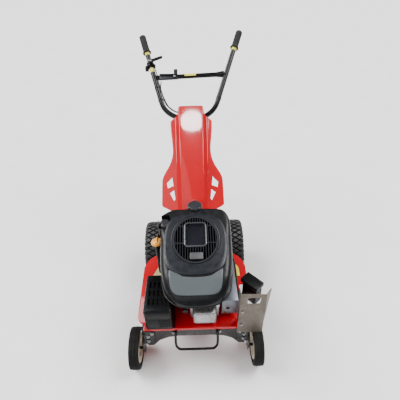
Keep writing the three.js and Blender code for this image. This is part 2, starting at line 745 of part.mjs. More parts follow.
function makeCarburettor() {
  const body = join(
    block(-94, -44, 98, 140, 262, 316),
    rod('z', 17, 240, 264, -70, 119, 16),
    rod('x', 16, -97, -34, 119, 290, 20),
  );
  return part('carburettor', body, ALUMINIUM);
}

function makeEngine() {
  const engine = group(
    makeShroud(),
    makeScreen(),
    makeEngineBlock(),
    makeBlade(),
    makeFuel(),
    makeOilFiller(),
    makeRecoilHandle(),
    makeCarburettor(),
  );
  engine.position.x = CRANK_X;
  return engine;
}

// Air filter box on the left, open at the top, with its element and its vented cover.
function makeAirFilter() {
  const [x0, x1, y0, y1] = [-197, -90, -9, 174];
  const split = 300;
  const base = cut(
    raised(roundedBox(x0, x1, y0, y1, 10), 232, split, 4),
    raised(roundedBox(x0 + 3, x1 - 3, y0 + 3, y1 - 3, 8), 235, split + 1, 4),
  );
  const element = raised(roundedBox(x0 + 10, x1 - 10, y0 + 10, y1 - 10, 4), 236, 294, 2);
  const shell = cut(
    domed(roundedBox(x0 - 1, x1 + 1, y0 - 1, y1 + 1, 12), split + GAP, 345, 8, 2),
    domed(roundedBox(x0 + 3, x1 - 3, y0 + 3, y1 - 3, 9), split - 1, 341, 6, 2),
  );
  const vents = [];
  for (let i = 0; i < 5; i += 1) {
    for (let j = 0; j < 3; j += 1) {
      const x = x0 + 19 + i * 17;
      const y = y0 + 48 + j * 41;
      vents.push(block(x - 3, x + 3, y - 14, y + 14, 330, 360));
    }
  }
  return group(
    part('air_filter_base', base, BLACK_PLASTIC),
    part('air_filter_element', element, FOAM),
    part('air_filter_cover', cut(shell, ...vents), BLACK_PLASTIC),
  );
}

// Muffler on the right with a sheet guard open underneath and behind.
function makeExhaust() {
  const [x0, x1, y0, y1, z0, z1] = [107, 171, 42, 250, 250, 333];
  const guard = cut(
    block(x0, x1, y0, y1, z0, z1),
    block(x0 - 1, x1 - 2, y0 + 2, y1 + 1, z0 - 1, z1 - 2),
    rod('y', 7, y0 - 5, y0 + 5, x0 + 24, 284, 16),
  );
  const silencer = domed(roundedBox(x0 + 8, x1 - 8, y0 + 14, y1 - 18, 12), 258, 322, 10, 4);
  return group(
    part('muffler_guard', guard, SILVER_SHEET),
    part('muffler', silencer, STEEL),
  );
}

// Upright plate bolted to the front lip on the right, with folded edges and a finger slot.
function makeGuardPlate() {
  const y = -8;
  const face = polygon([[165, 190], [268, 190], [267, 430], [172, 436]]);
  const slot = roundedBox(197, 246, 376, 412, 8);
  face.holes.push(slot);
  const plate = placed(raised(face, 0, SHEET, 4), { turnX: Math.PI / 2, at: [0, y + SHEET, 0] });
  const leftFold = polygon([[y + 1, 232], [26, 232], [34, 420], [y + 1, 436]]);
  const left = sideways(raised(leftFold, 169, 172));
  const flap = polygon([[0, 240], [2, 240], [31, 436], [0, 430]]);
  const right = placed(raised(flap, -SHEET, 0), {
    turnX: Math.PI / 2,
    turnZ: THREE.MathUtils.degToRad(48),
    at: [266, y + 0.5, 0],
  });
  return part('exhaust_guard', join(plate, left, right), GALVANISED);
}

// Starter battery in a case that hangs in the deck's side notch, turned out from the engine.
function makeBattery() {
  const centre = [242, 149];
  const turn = { turnZ: THREE.MathUtils.degToRad(-47), at: [...centre, 0] };
  const lidBottom = 304;
  const caseBottom = 212;
  const lid = placed(domed(roundedBox(-43, 43, -26, 26, 5), lidBottom, 320, 3, 3), turn);
  const body = placed(
    raised(roundedBox(-34, 40, -22, 20, 4), caseBottom, lidBottom - GAP, 3),
    turn,
  );
  const shelf = placed(block(-34, 38, -20, 18, caseBottom - 5, caseBottom - GAP), turn);
  const foot = block(170, 200, 148, 170, DECK_TOP + GAP, DECK_TOP + 4);
  const leg = block(197, 200, 148, 170, caseBottom - 5, DECK_TOP + 4);
  const toe = block(197, 216, 148, 170, caseBottom - 5, caseBottom - GAP);
  return group(
    part('battery_lid', lid, GREY_PLASTIC),
    part('battery_case', body, BLACK_PLASTIC),
    part('battery_bracket', join(shelf, foot, leg, toe), BLACK_PAINT),
  );
}

// Wiring that runs forward along the muffler guard and is clipped at the front of the deck.
function makeLoom() {
  const route = [
    [150, 330, 338], [168, 290, 330], [178, 240, 312], [179, 170, 296], [179, 100, 286],
    [179, 50, 274], [179, 36, 252], [179, 30, 230],
  ];
  return part('wiring_loom', bar(route, 4, 24, 8), BLACK_PLASTIC);
}

// ---------------------------------------------------------------- hood and column

// Plan of the hood in its own sloping plane, a distance inside its edge.
function hoodOutline(inset) {
  const r = (x, y) => [x - inset, y];
  const l = (x, y) => [inset - x, y];
  const top = HOOD_TOP - inset;
  const shape = new THREE.Shape();
  shape.moveTo(...r(102, inset));
  shape.lineTo(...r(156, 30 + inset * 0.5));
  shape.lineTo(...r(155, 160));
  shape.bezierCurveTo(...r(153, 212), ...r(100, 235), ...r(99, 330));
  shape.bezierCurveTo(...r(99, 380), ...r(111, 400), ...r(112, 500 - inset));
  shape.lineTo(...r(76, 533 - inset));
  shape.lineTo(...r(70, 538 - inset));
  shape.lineTo(...r(68, top - 10));
  shape.quadraticCurveTo(...r(67, top), ...r(57, top));
  shape.lineTo(...l(57, top));
  shape.quadraticCurveTo(...l(67, top), ...l(68, top - 10));
  shape.lineTo(...l(70, 538 - inset));
  shape.lineTo(...l(76, 533 - inset));
  shape.lineTo(...l(112, 500 - inset));
  shape.bezierCurveTo(...l(111, 400), ...l(99, 380), ...l(99, 330));
  shape.bezierCurveTo(...l(100, 235), ...l(153, 212), ...l(155, 160));
  shape.lineTo(...l(156, 30 + inset * 0.5));
  shape.lineTo(...l(102, inset));
  return shape;
}

// The raised spine of the hood, as a trapezium section pushed up the slope.
function hoodSpine(topHalf, footHalf, top, bottom, start, end) {
  const section = polygon([[-footHalf, bottom], [footHalf, bottom], [topHalf, top], [-topHalf, top]]);
  return placed(raised(section, 0, end - start), { turnX: Math.PI / 2, at: [0, end, 0] });
}

function makeHood() {
  const rise = 20;
  const skin = join(
    raised(hoodOutline(0), -HOOD_LIP, 0, 6),
    hoodSpine(63, 84, rise, -2, 0, HOOD_TOP).intersect(raised(hoodOutline(0), -20, 40, 6)),
  );
  const hollow = join(
    raised(hoodOutline(SHEET), -HOOD_LIP - 1, -SHEET, 6),
    hoodSpine(61, 80, rise - SHEET, -SHEET - 1, SHEET, HOOD_TOP - SHEET)
      .intersect(raised(hoodOutline(SHEET), -20, 40, 6)),
  );
  const windows = [];
  for (const side of [-1, 1]) {
    const upper = [[102, 182], [133, 150], [128, 119], [96, 131]];
    const lower = [[93, 113], [117, 95], [96, 50], [87, 60]];
    for (const corners of [upper, lower]) {
      windows.push(raised(polygon(corners.map(([x, y]) => [side * x, y])), -30, 30));
    }
  }
  const hood = part('hood', cut(skin, hollow, ...windows), RED);
  hood.position.set(0, HOOD_FOOT.y, HOOD_FOOT.z);
  hood.rotation.x = SLOPE;
  return hood;
}

// Box-section column that rises from the deck under the hood and clamps the handlebar's base.
function makeColumn() {
  const rise = Math.tan(SLOPE);
  const top = (y) => HOOD_FOOT.z + (y - HOOD_FOOT.y) * rise - 20;
  const side = polygon([
    [562, DECK_TOP + GAP], [636, DECK_TOP + GAP], [636, top(636) - 48], [962, top(962) - 48],
    [962, top(962)], [590, top(590)], [562, top(562) - 30],
  ]);
  const horn = polygon([
    [930, top(930) - 44], [960, top(960) - 46], [1010, 655], [1010, 689], [985, 692],
    [930, top(930) - 2],
  ]);
  const box = sideways(join(raised(side, -35, 35), raised(horn, -35, 35)));
  const bore = rod('x', BAR_R + 0.6, -60, 60, PIVOT.y, PIVOT.z, 32);
  return part('handlebar_column', cut(box, bore), BLACK_PAINT);
}

// Cables that leave the handlebar's base and run down beside the column to what they work.
function makeLowerCables() {
  const throttle = [
    [-52, 968, 640], [-48, 930, 612], [-44, 840, 548], [-44, 740, 475], [-44, 650, 408],
    [-46, 600, 350], [-60, 570, 270], [-100, 530, 240], [-108, 440, 236], [-112, 330, 235],
    [-108, 230, 236], [-84, 170, 246], [-66, 150, 270],
  ];
  const drive = [
    [52, 968, 640], [48, 930, 612], [44, 840, 548], [44, 740, 475], [44, 650, 408],
    [46, 600, 350], [58, 560, 260], [70, 545, 230],
  ];
  return group(
    part('throttle_cable_lower', bar(throttle, CABLE_R, 30, 6), BLACK_PLASTIC),
    part('drive_cable_lower', bar(drive, CABLE_R, 20, 6), BLACK_PLASTIC),
  );
}

// ---------------------------------------------------------------- handlebar

// Everything here is drawn in the handlebar's own plane: X across, Y up the slope, Z off the plane.

// Where a leg's centre line is at a height up the plane.
function legAt({ foot, tip }, y) {
  return [foot[0] + ((y - foot[1]) / (tip[1] - foot[1])) * (tip[0] - foot[0]), y, 0];
}

function legAim({ foot, tip }) {
  return [tip[0] - foot[0], tip[1] - foot[1], 0];
}

function makeHandlebarTube() {
  const flat = (points) => points.map(([x, y]) => new THREE.Vector3(x, y, 0));
  const straight = (...points) => new THREE.LineCurve3(...flat(points));
  const bend = (...points) => new THREE.QuadraticBezierCurve3(...flat(points));
  const { left, right } = LEGS;
  const hiddenByGrip = 8;
  const path = new THREE.CurvePath();
  path.add(straight(legAt(left, left.tip[1] - hiddenByGrip), left.foot));
  path.add(bend(left.foot, [-149, 50], [-108, 22]));
  path.add(bend([-108, 22], [-76, 0], [-50, 0]));
  path.add(straight([-50, 0], [50, 0]));
  path.add(bend([50, 0], [74, 0], [102, 24]));
  path.add(bend([102, 24], [135, 50], right.foot));
  path.add(straight(right.foot, legAt(right, right.tip[1] - hiddenByGrip)));
  return part('handlebar', barAlong(path, BAR_R, 34, 10), BLACK_PAINT);
}

function makeCrossbar() {
  const end = (leg, y, inward) => [legAt(leg, y)[0] + inward * (BAR_R + 5), y, 0];
  const ends = [end(LEGS.left, CROSSBAR_LEFT_Y, 1), end(LEGS.right, CROSSBAR_RIGHT_Y, -1)];
  return part('crossbar', bar(ends, CROSSBAR_R, 1, 16), BLACK_PAINT);
}

function makeGrip(name, leg) {
  const end = GRIP_LENGTH;
  const body = turned([
    [0, end], [GRIP_R - 2, end], [GRIP_R, end - 3], [GRIP_R, 6], [GRIP_FLANGE_R, 5],
    [GRIP_FLANGE_R, 0], [BAR_R + GAP, 0], [BAR_R + GAP, end - 6], [0, end - 6],
  ], 20);
  return part(name, aimed(body, legAt(leg, leg.tip[1] - end + 5), legAim(leg)), RUBBER);
}

function makeThrottle() {
  const on = legAt(LEGS.left, THROTTLE_Y);
  const turn = [on[0] + 4, THROTTLE_Y + 6];
  const collar = aimed(
    cut(rod('z', 21, -14, 14, 0, 0, 20), rod('z', BAR_R + GAP, -20, 20, 0, 0, 20)),
    on,
    legAim(LEGS.left),
  );
  const boss = rod('z', 13, 17, 26, ...turn, 20);
  const hub = rod('z', 12, 26 + GAP, 33, ...turn, 20);
  const arm = polygon([[3, -8], [60, 15], [68, 22], [65, 30], [56, 30], [-3, 8]]);
  const lever = join(hub, placed(raised(arm, 26 + GAP, 33), { at: [...turn, 0] }));
  return group(
    part('throttle_housing', join(collar, boss), BLACK_PLASTIC),
    part('throttle_lever', lever, BLACK_PLASTIC),
  );
}

// Drive engagement lever: a channel and an upright finger tab that turn on a bolt in the crossbar.
function makeDriveLever() {
  const face = CROSSBAR_R + 2 * GAP;
  const [x, y] = DRIVE_LEVER_PIVOT;
  const strip = (low, high) => polygon([
    [x - 85, y + low[0]], [x + 18, y + low[1]], [x + 18, y + high[1]], [x - 85, y + high[0]],
  ]);
  const tab = polygon([[x - 4, y], [x + 17, y], [x + 17, y + 48], [x - 4, y + 48]]);
  const lever = join(
    raised(strip([-18, -14], [14, 11]), face, face + 4),
    raised(strip([-20, -16], [-17, -13]), face, face + 13),
    raised(strip([13, 10], [16, 13]), face, face + 13),
    raised(tab, face, face + 8),
    rod('z', 8, face, face + 10, x, y, 16),
  );
  return part('drive_lever', lever, GREY_PLASTIC);
}

// The cables lie against the inside of the left leg and cross over the tube to enter the column.
function makeUpperCables() {
  const throttle = [
    [-203, 326, 17], [-196, 304, 17], [-186, 268, 20], [-176, 220, 12], [-152, 130, 10],
    [-137, 84, 11], [-112, 52, 11], [-88, 35, 11], [-70, 27, 12], [-56, 20, 15],
    [-52, 4, 20.5], [-52, -12, 18.5], [-52, -24, 6],
  ];
  const drive = [
    [-162, 224, 16], [-165, 210, 9], [-166, 190, 4], [-156, 150, 3], [-144, 116, 3], [-126, 76, 3],
    [-104, 54, 3], [-80, 37, 4], [-58, 34, 10], [0, 30, 15], [44, 24, 16],
    [52, 6, 20.5], [52, -12, 18.5], [52, -24, 6],
  ];
  return group(
    part('throttle_cable', bar(throttle, CABLE_R, 30, 6), BLACK_PLASTIC),
    part('drive_cable', bar(drive, CABLE_R, 30, 6), BLACK_PLASTIC),
  );
}

function makeHandlebar() {
  const assembly = group(
    makeHandlebarTube(),
    makeCrossbar(),
    makeGrip('grip_left', LEGS.left),
    makeGrip('grip_right', LEGS.right),
    makeThrottle(),
    makeDriveLever(),
    makeUpperCables(),
  );
  assembly.position.set(0, PIVOT.y, PIVOT.z);
  assembly.rotation.x = SLOPE;
  return assembly;
}

// ---------------------------------------------------------------- the machine

function makeInputPulley() {
  return part(
    'input_pulley',
    placed(pulley(INPUT_PULLEY_R, 8 + GAP, 6), { at: [0, WORM_Y, BELT_Z] }),
    STEEL,
  );
}

const machine = group(
  makeDeck(),
  makeFrontBeam(),
  makeWheelBracket('wheel_bracket_left', -1),
  makeWheelBracket('wheel_bracket_right', 1),
  makeFrontWheel('left', -1),
  makeFrontWheel('right', 1),
  makeRearDrive(),
  makeInputPulley(),
  makeBelt(),
  makeIdler(),
  makeEngine(),
  makeAirFilter(),
  makeExhaust(),
  makeGuardPlate(),
  makeBattery(),
  makeLoom(),
  makeColumn(),
  makeLowerCables(),
  makeHood(),
  makeHandlebar(),
);
machine.position.set(-BODY_CENTRE_X, -BODY_CENTRE_Y, 0);

export default group(machine);
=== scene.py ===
"""Visual model of a walk-behind rotary mower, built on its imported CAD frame.

Lengths in the shape code are millimetres in the machine's own drawing frame (y = 0 at the front
axle, z = 0 on the ground); at() turns them into the row frame in metres. A part is a list of
corners and a list of faces, and new_piece() joins parts into one visible piece.
"""
from math import comb, cos, hypot, pi, radians, sin, sqrt, tan

import bmesh
import bpy
from mathutils import Matrix, Vector
from mathutils.bvhtree import BVHTree

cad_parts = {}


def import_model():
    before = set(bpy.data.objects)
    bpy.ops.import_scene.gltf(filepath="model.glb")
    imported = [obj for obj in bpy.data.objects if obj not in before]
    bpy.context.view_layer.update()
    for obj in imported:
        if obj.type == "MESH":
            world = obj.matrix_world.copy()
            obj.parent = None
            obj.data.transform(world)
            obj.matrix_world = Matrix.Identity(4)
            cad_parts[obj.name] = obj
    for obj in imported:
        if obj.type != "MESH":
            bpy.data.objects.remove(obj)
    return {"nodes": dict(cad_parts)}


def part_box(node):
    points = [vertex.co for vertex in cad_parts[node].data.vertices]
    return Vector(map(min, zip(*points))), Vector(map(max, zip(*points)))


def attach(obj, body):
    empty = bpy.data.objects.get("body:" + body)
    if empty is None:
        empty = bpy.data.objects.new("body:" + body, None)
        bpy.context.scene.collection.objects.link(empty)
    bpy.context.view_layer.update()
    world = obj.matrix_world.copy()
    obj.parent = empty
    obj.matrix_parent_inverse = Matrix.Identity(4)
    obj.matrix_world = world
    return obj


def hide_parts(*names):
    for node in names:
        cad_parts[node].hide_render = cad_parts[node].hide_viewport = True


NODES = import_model()["nodes"]
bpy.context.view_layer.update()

MM = 0.001
BODY_CENTRE_X, BODY_CENTRE_Y = 11.45, 689.02      # middle of the machine in its drawing frame
CRANK_X, CRANK_Y = 9.0, 252.0
PLANE_SLOPE = radians(36)
HOOD_FOOT = (0.0, 548.0, 380.0)
BAR_PIVOT = (0.0, 995.0, 672.0)
SCREEN_LEAN = 0.267
SCREEN_Z = 470.9
UPWARD, FORWARD = (0, 0, 1), (0, -1, 0)


# ---- frames

def at(x, y, z):
    return Vector((x - BODY_CENTRE_X, y - BODY_CENTRE_Y, z)) * MM


def sloped(origin, angle):
    """A maker of row-frame points from a plane turned about X: x across, y up the slope, z off it."""
    turn = Matrix.Rotation(angle, 3, "X")

    def place(x, y, z=0.0):
        return at(*(Vector(origin) + turn @ Vector((x, y, z))))

    return place


on_hood = sloped(HOOD_FOOT, PLANE_SLOPE)
on_bar = sloped(BAR_PIVOT, PLANE_SLOPE)
on_screen = sloped((CRANK_X, CRANK_Y, SCREEN_Z), SCREEN_LEAN)


def engine(x, y, z):
    return at(x + CRANK_X, y, z)


def about(origin, direction, make=at):
    """A place() whose local Z runs along a direction from an origin, both in drawing millimetres."""
    turn = Vector((0, 0, 1)).rotation_difference(Vector(direction))
    base = Vector(origin)

    def place(x, y, z):
        return make(*(base + turn @ Vector((x, y, z))))

    return place


def wheel_frame(centre, side):
    """place(x, y, z) with local z along the axle, outwards on the given side."""
    base = Vector(centre)

    def place(x, y, z):
        return at(base.x + side * z, base.y + x, base.z + y)

    return place


# ---- camera, floor and light

CAMERA_AT, CAMERA_LENS = (22.6, -793.1, 1478.6), 31.293
CAMERA_PITCH, CAMERA_HEADING, CAMERA_ROLL = 37.62, -0.508, -1.3625
FLOOR_REACH = 14
SKY = 0.30
SUNS = (                                           # name, position, strength, spread in degrees
    ("left_sun", (-2.0, 0.7, 2.4), 4.0, 34),
    ("right_sun", (1.8, 0.5, 2.6), 3.6, 34),
    ("fill_sun", (-1.2, -1.6, 2.4), 1.0, 50),
)


def link(name, data):
    thing = bpy.data.objects.new(name, data)
    bpy.context.collection.objects.link(thing)
    return thing


def make_camera():
    data = bpy.data.cameras.new("camera")
    camera = link("camera", data)
    bpy.context.scene.camera = camera
    data.sensor_width = 36
    data.lens = CAMERA_LENS
    data.clip_start, data.clip_end = 0.05, 60
    pitch, heading, roll = (radians(a) for a in (CAMERA_PITCH, CAMERA_HEADING, CAMERA_ROLL))
    camera.matrix_world = Matrix.Translation(at(*CAMERA_AT))
    for angle, axis in ((heading, "Z"), (pi / 2 - pitch, "X"), (roll, "Z")):
        camera.matrix_world = camera.matrix_world @ Matrix.Rotation(angle, 4, axis)


def add_light(name, kind, position, strength, target=(0, 0, 0)):
    data = bpy.data.lights.new(name, kind)
    data.energy = strength
    lamp = link(name, data)
    lamp.location = position
    lamp.rotation_euler = (Vector(target) - Vector(position)).to_track_quat("-Z", "Y").to_euler()
    return lamp


def make_studio():
    world = bpy.data.worlds.new("studio")
    bpy.context.scene.world = world
    world.use_nodes = True
    put(world.node_tree.nodes["Background"], {"Color": (1, 1, 1, 1), "Strength": SKY})
    mesh = bpy.data.meshes.new("floor")
    far = FLOOR_REACH
    mesh.from_pydata([(-far, -far, 0), (far, -far, 0), (far, far, 0), (-far, far, 0)], [], [(0, 1, 2, 3)])
    floor = link("floor", mesh)
    floor.data.materials.append(surface("floor_paper", (0.92, 0.92, 0.92), 0.9, 0, 0.02, 4, 0, 900, 0.1))
    for name, position, strength, spread in SUNS:
        add_light(name, "SUN", position, strength).data.angle = radians(spread)


def make_hood_sheen():
    """A panel of light that only shows as a reflection, and only on the hood."""
    lamp = add_light("hood_sheen", "AREA", (0.0, -0.035, 3.0), 55, (0, -0.035, 0))
    lamp.data.shape = "ELLIPSE"
    lamp.data.size, lamp.data.size_y = 0.86, 0.24
    lamp.visible_diffuse = False
    group = bpy.data.collections.new("hood_sheen_receivers")
    for receiver in ("hood_skin", "hood_edge"):
        group.objects.link(bpy.data.objects[receiver])
    lamp.light_linking.receiver_collection = group


# ---- materials

SOOT = {"dust_colour": (0.05, 0.05, 0.05)}
# key: slot, material name, colour, roughness, metallic, mottle and its scale, grain and its scale,
# specular, and what is left of surface()'s settings
FINISHES = {
    "red": ("red_paint", "red_enamel", (0.50, 0.0006, 0.0075), 0.32, 0, 0.06, 9, 0.03, 260, 0.04,
            {"coat": 0.55, "rough_swing": 0.05}),
    "black_paint": ("black_paint", "black_powder_coat", (0.0016, 0.0016, 0.0019), 0.24, 0, 0.3, 40,
                    0.12, 1300, 0.28, {"dust": 0.02, **SOOT}),
    "black_plastic": ("black_plastic", "black_plastic", (0.0026, 0.003, 0.0036), 0.42, 0, 0.25, 35,
                      0.35, 1500, 0.16, {"dust": 0.04, **SOOT}),
    "shroud": ("grey_plastic", "shroud_plastic", (0.0036, 0.0038, 0.0048), 0.34, 0, 0.12, 20,
               0.2, 1600, 0.26, {"dust": 0.02, **SOOT}),
    "panel": ("grey_plastic", "shroud_panel_plastic", (0.066, 0.077, 0.083), 0.42, 0, 0.06, 14,
              0.15, 1600, 0.35, {}),
    "collar": ("grey_plastic", "screen_collar_plastic", (0.0085, 0.0100, 0.0138), 0.34, 0, 0.06, 20,
               0.2, 1600, 0.26, {}),
    "screen": ("black_plastic", "screen_plastic", (0.004, 0.004, 0.005), 0.38, 0, 0.2, 50,
               0.2, 1400, 0.25, {"dust": 0.03, **SOOT}),
    "slat": ("black_plastic", "screen_slat_plastic", (0.0125, 0.0140, 0.0180), 0.42, 0, 0.06, 40,
             0.2, 1400, 0.2, {}),
    # Near-black finish for the inside of the shroud and behind openings: painted shade.
    "shade_black": ("black_plastic", "dull_black_plastic", (0.0009, 0.0009, 0.0011), 0.7, 0, 0.2, 40,
             0.1, 1200, 0.05, {}),
    "pad": ("black_plastic", "screen_pad_plastic", (0.0105, 0.0115, 0.0150), 0.8, 0, 0.1, 20,
            0.05, 1400, 0.02, {}),
    "pull": ("black_plastic", "pull_grip_plastic", (0.017, 0.018, 0.021), 0.34, 0, 0.06, 30,
             0.15, 1200, 0.35, {}),
    "filter": ("", "filter_box_plastic", (0.0016, 0.0018, 0.0023), 0.36, 0, 0.2, 35, 0.25, 1500, 0.12, {}),
    "plate": ("aluminium", "plain_plate", (0.075, 0.075, 0.08), 0.36, 0.3, 0.08, 90, 0.05, 900, 0.3, {}),
    # Glossy grey for the pad's rim, made lighter than the pad itself: painted highlight where the rim
    # catches the light.
    "rim_highlight_grey": ("grey_plastic", "pad_rim_plastic", (0.040, 0.042, 0.048), 0.22, 0, 0.05, 40,
                   0.03, 900, 0.6, {}),
    "tyre": ("tyre", "tyre_rubber", (0.008, 0.008, 0.0078), 0.75, 0, 0.3, 45, 0.5, 700, 0.15,
             {"dust": 0.3, "dust_colour": (0.045, 0.045, 0.042)}),
    "lug": ("tyre", "tyre_lug_rubber", (0.014, 0.014, 0.0155), 0.5, 0, 0.5, 50, 0.4, 700, 0.3,
            {"dust": 0.6, "dust_colour": (0.085, 0.085, 0.088)}),
    "grip": ("grip_rubber", "grip_rubber", (0.020, 0.021, 0.023), 0.66, 0, 0.2, 60, 0.6, 1100, 0.25,
             {"dust": 0.12, "dust_colour": (0.06, 0.06, 0.06)}),
    "cream": ("cream_plastic", "cream_plastic", (0.52, 0.46, 0.32), 0.46, 0, 0.10, 26, 0.1, 900, 0.5,
              {"second": (0.60, 0.55, 0.44)}),
    "amber": ("yellow_plastic", "amber_plastic", (0.86, 0.36, 0.035), 0.36, 0, 0.08, 60, 0.12, 900, 0.5, {}),
    "aluminium": ("aluminium", "cast_aluminium", (0.36, 0.355, 0.355), 0.34, 0.75, 0.2, 34,
                  0.5, 850, 0.5, {"rough_swing": 0.1}),
    "steel": ("steel", "bare_steel", (0.30, 0.30, 0.31), 0.33, 1.0, 0.2, 60, 0.15, 900, 0.5,
              {"rough_swing": 0.12}),
    "galvanised": ("", "galvanised_sheet", (0.10, 0.082, 0.064), 0.45, 0.6, 0.14, 30, 0.12, 400, 0.5,
                   {"second": (0.14, 0.118, 0.096), "rough_swing": 0.1}),
    "silver": ("", "silver_sheet", (0.15, 0.16, 0.185), 0.4, 0.35, 0.10, 24, 0.1, 500, 0.5, {}),
    "bronze": ("bronze", "bronze", (0.22, 0.12, 0.04), 0.4, 0.9, 0.2, 60, 0.2, 900, 0.5, {}),
    "foam": ("", "filter_foam", (0.05, 0.04, 0.024), 0.9, 0, 0.3, 120, 0.9, 900, 0.1, {}),
    "cream_label": ("cream_plastic", "blank_cream_label", (0.50, 0.43, 0.22), 0.5, 0, 0.05, 40,
                    0, 900, 0.5, {}),
    "yellow_label": ("yellow_plastic", "blank_yellow_label", (0.80, 0.74, 0.06), 0.45, 0, 0.05, 40,
                     0, 900, 0.5, {}),
}
COAT_ROUGHNESS = 0.06
GRAIN_DEPTH = 0.0006


def put(node, values):
    for socket, value in values.items():
        node.inputs[socket].default_value = value


def surface(name, colour, roughness, metallic, mottle, scale, grain, grain_scale, specular,
            rough_swing=0.08, coat=0.0, dust=0.0, dust_colour=None, second=None):
    """A procedural finish: mottled colour, uneven gloss, fine grain in the bump and settled dust."""
    material = bpy.data.materials.new(name)
    material.use_nodes = True
    nodes, links = material.node_tree.nodes, material.node_tree.links
    shader = nodes["Principled BSDF"]
    put(shader, {"Metallic": metallic, "Coat Weight": coat, "Coat Roughness": COAT_ROUGHNESS,
                 "Specular IOR Level": specular})
    place = nodes.new("ShaderNodeTexCoord").outputs["Object"]

    def noise(frequency, detail):
        texture = nodes.new("ShaderNodeTexNoise")
        put(texture, {"Scale": frequency, "Detail": detail})
        links.new(place, texture.inputs["Vector"])
        return texture.outputs["Fac"]

    def span(value, low, high, from_low=0.3, from_high=0.7):
        node = nodes.new("ShaderNodeMapRange")
        links.new(value, node.inputs["Value"])
        put(node, {"From Min": from_low, "From Max": from_high, "To Min": low, "To Max": high})
        return node.outputs["Result"]

    def mix(factor, first, last):
        node = nodes.new("ShaderNodeMix")
        node.data_type = "RGBA"
        links.new(factor, node.inputs[0])
        for socket, value in ((node.inputs[6], first), (node.inputs[7], last)):
            if isinstance(value, tuple):
                socket.default_value = (*value, 1)
            else:
                links.new(value, socket)
        return node.outputs[2]

    darker = tuple(c * (1 - mottle) for c in colour)
    lighter = second or tuple(min(c * (1 + mottle), 1) for c in colour)
    tone = mix(span(noise(scale, 5.0), 0, 1), darker, lighter)
    rough = span(noise(scale * 2.3, 3.0), roughness - rough_swing, roughness + rough_swing)
    if dust:
        facing = nodes.new("ShaderNodeSeparateXYZ")
        links.new(nodes.new("ShaderNodeNewGeometry").outputs["Normal"], facing.inputs["Vector"])
        patchy = nodes.new("ShaderNodeMath")
        patchy.operation = "MULTIPLY"
        links.new(span(facing.outputs["Z"], 0, dust, 0.2, 1.0), patchy.inputs[0])
        links.new(span(noise(scale * 0.8, 6.0), 0.25, 1), patchy.inputs[1])
        tone = mix(patchy.outputs[0], tone, dust_colour)
    links.new(tone, shader.inputs["Base Color"])
    links.new(rough, shader.inputs["Roughness"])
    if grain:
        bump = nodes.new("ShaderNodeBump")
        put(bump, {"Strength": grain, "Distance": GRAIN_DEPTH})
        links.new(noise(grain_scale, 3.0), bump.inputs["Height"])
        links.new(bump.outputs["Normal"], shader.inputs["Normal"])
    return material


# ---- pieces

def outward_mesh(name, parts):
    """A mesh of all the parts, with its faces turned outwards."""
    corners, faces = [], []
    for part_corners, part_faces in parts:
        base = len(corners)
        corners += part_corners
        faces += [tuple(base + i for i in face) for face in part_faces]
    mesh = bpy.data.meshes.new(name)
    mesh.from_pydata([tuple(c) for c in corners], [], faces)
    work = bmesh.new()
    work.from_mesh(mesh)
    bmesh.ops.recalc_face_normals(work, faces=work.faces)
    work.to_mesh(mesh)
    work.free()
    return mesh


def new_piece(name, finish, *parts, body="chassis", node=None, slot=None):
    """One visible piece that rides a body, and stands for a CAD node where it is given one."""
    piece = link(name, outward_mesh(name, parts))
    piece.data.materials.append(MATERIALS[finish])
    shade(piece.data)
    slot or FINISHES[finish][0]
    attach(piece, body)
    if node:
        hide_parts(node)
    return piece


def shade(mesh, angle=35):
    mesh.polygons.foreach_set("use_smooth", [True] * len(mesh.polygons))
    mesh.set_sharp_from_angle(angle=radians(angle))


def carve(piece, part, operation="DIFFERENCE"):
    """Cuts a closed shape out of a piece and keeps the result as its mesh."""
    cutter = link("cutter", outward_mesh("cutter", [part]))
    modifier = piece.modifiers.new("carve", "BOOLEAN")
    modifier.operation = operation
    modifier.solver = "EXACT"
    modifier.object = cutter
    graph = bpy.context.evaluated_depsgraph_get()
    result = bpy.data.meshes.new_from_object(piece.evaluated_get(graph))
    piece.modifiers.remove(modifier)
    spent = (piece.data, cutter.data)
    piece.data = result
    bpy.data.objects.remove(cutter)
    for mesh in spent:
        bpy.data.meshes.remove(mesh)


# ---- parts

def turns(count):
    """Evenly spaced angles round a circle."""
    return [2 * pi * i / count for i in range(count)]


def polar(radius, angle):
    return radius * cos(angle), radius * sin(angle)


def edges(outline):
    return zip(outline, outline[1:] + outline[:1])


def rings(loops, start_cap=True, end_cap=True):
    """Faces between successive loops that have the same number of corners."""
    count = len(loops[0])
    corners = [c for loop in loops for c in loop]
    faces = []
    for k in range(len(loops) - 1):
        for i in range(count):
            j = (i + 1) % count
            faces.append((k * count + i, k * count + j, (k + 1) * count + j, (k + 1) * count + i))
    if start_cap:
        faces.append(tuple(range(count))[::-1])
    if end_cap:
        faces.append(tuple(range((len(loops) - 1) * count, len(loops) * count)))
    return corners, faces


def hoop(loops):
    """Loops joined round to the first again."""
    return rings([*loops, loops[0]], start_cap=False, end_cap=False)


def lathe(profile, place, sides=48, flute=None, join=rings):
    """Turns [radius, height] points round the local Z axis that place() stands up."""
    loops = []
    for radius, height in profile:
        loop = []
        for angle in turns(sides):
            reach = radius * (1 + (flute(angle, height) if flute else 0))
            loop.append(place(*polar(reach, angle), height))
        loops.append(loop)
    return join(loops)


def mirrored(profile):
    """The other half of a lathe profile that starts at its low end."""
    return [(radius, -height) for radius, height in reversed(profile)]


def rod(radius, low, high):
    return [(0.1, low), (radius, low), (radius, high), (0.1, high)]


def smooth_path(points, steps=6):
    """A Catmull-Rom curve through points."""
    pts = [Vector(p) for p in points]
    ends = [2 * pts[0] - pts[1], *pts, 2 * pts[-1] - pts[-2]]
    out = []
    for a, b, c, d in zip(ends, ends[1:], ends[2:], ends[3:]):
        for k in range(steps):
            t = k / steps
            out.append(0.5 * (2 * b + (c - a) * t + (2 * a - 5 * b + 4 * c - d) * t * t
                              + (3 * b - a - 3 * c + d) * t ** 3))
    return [*out, pts[-1]]


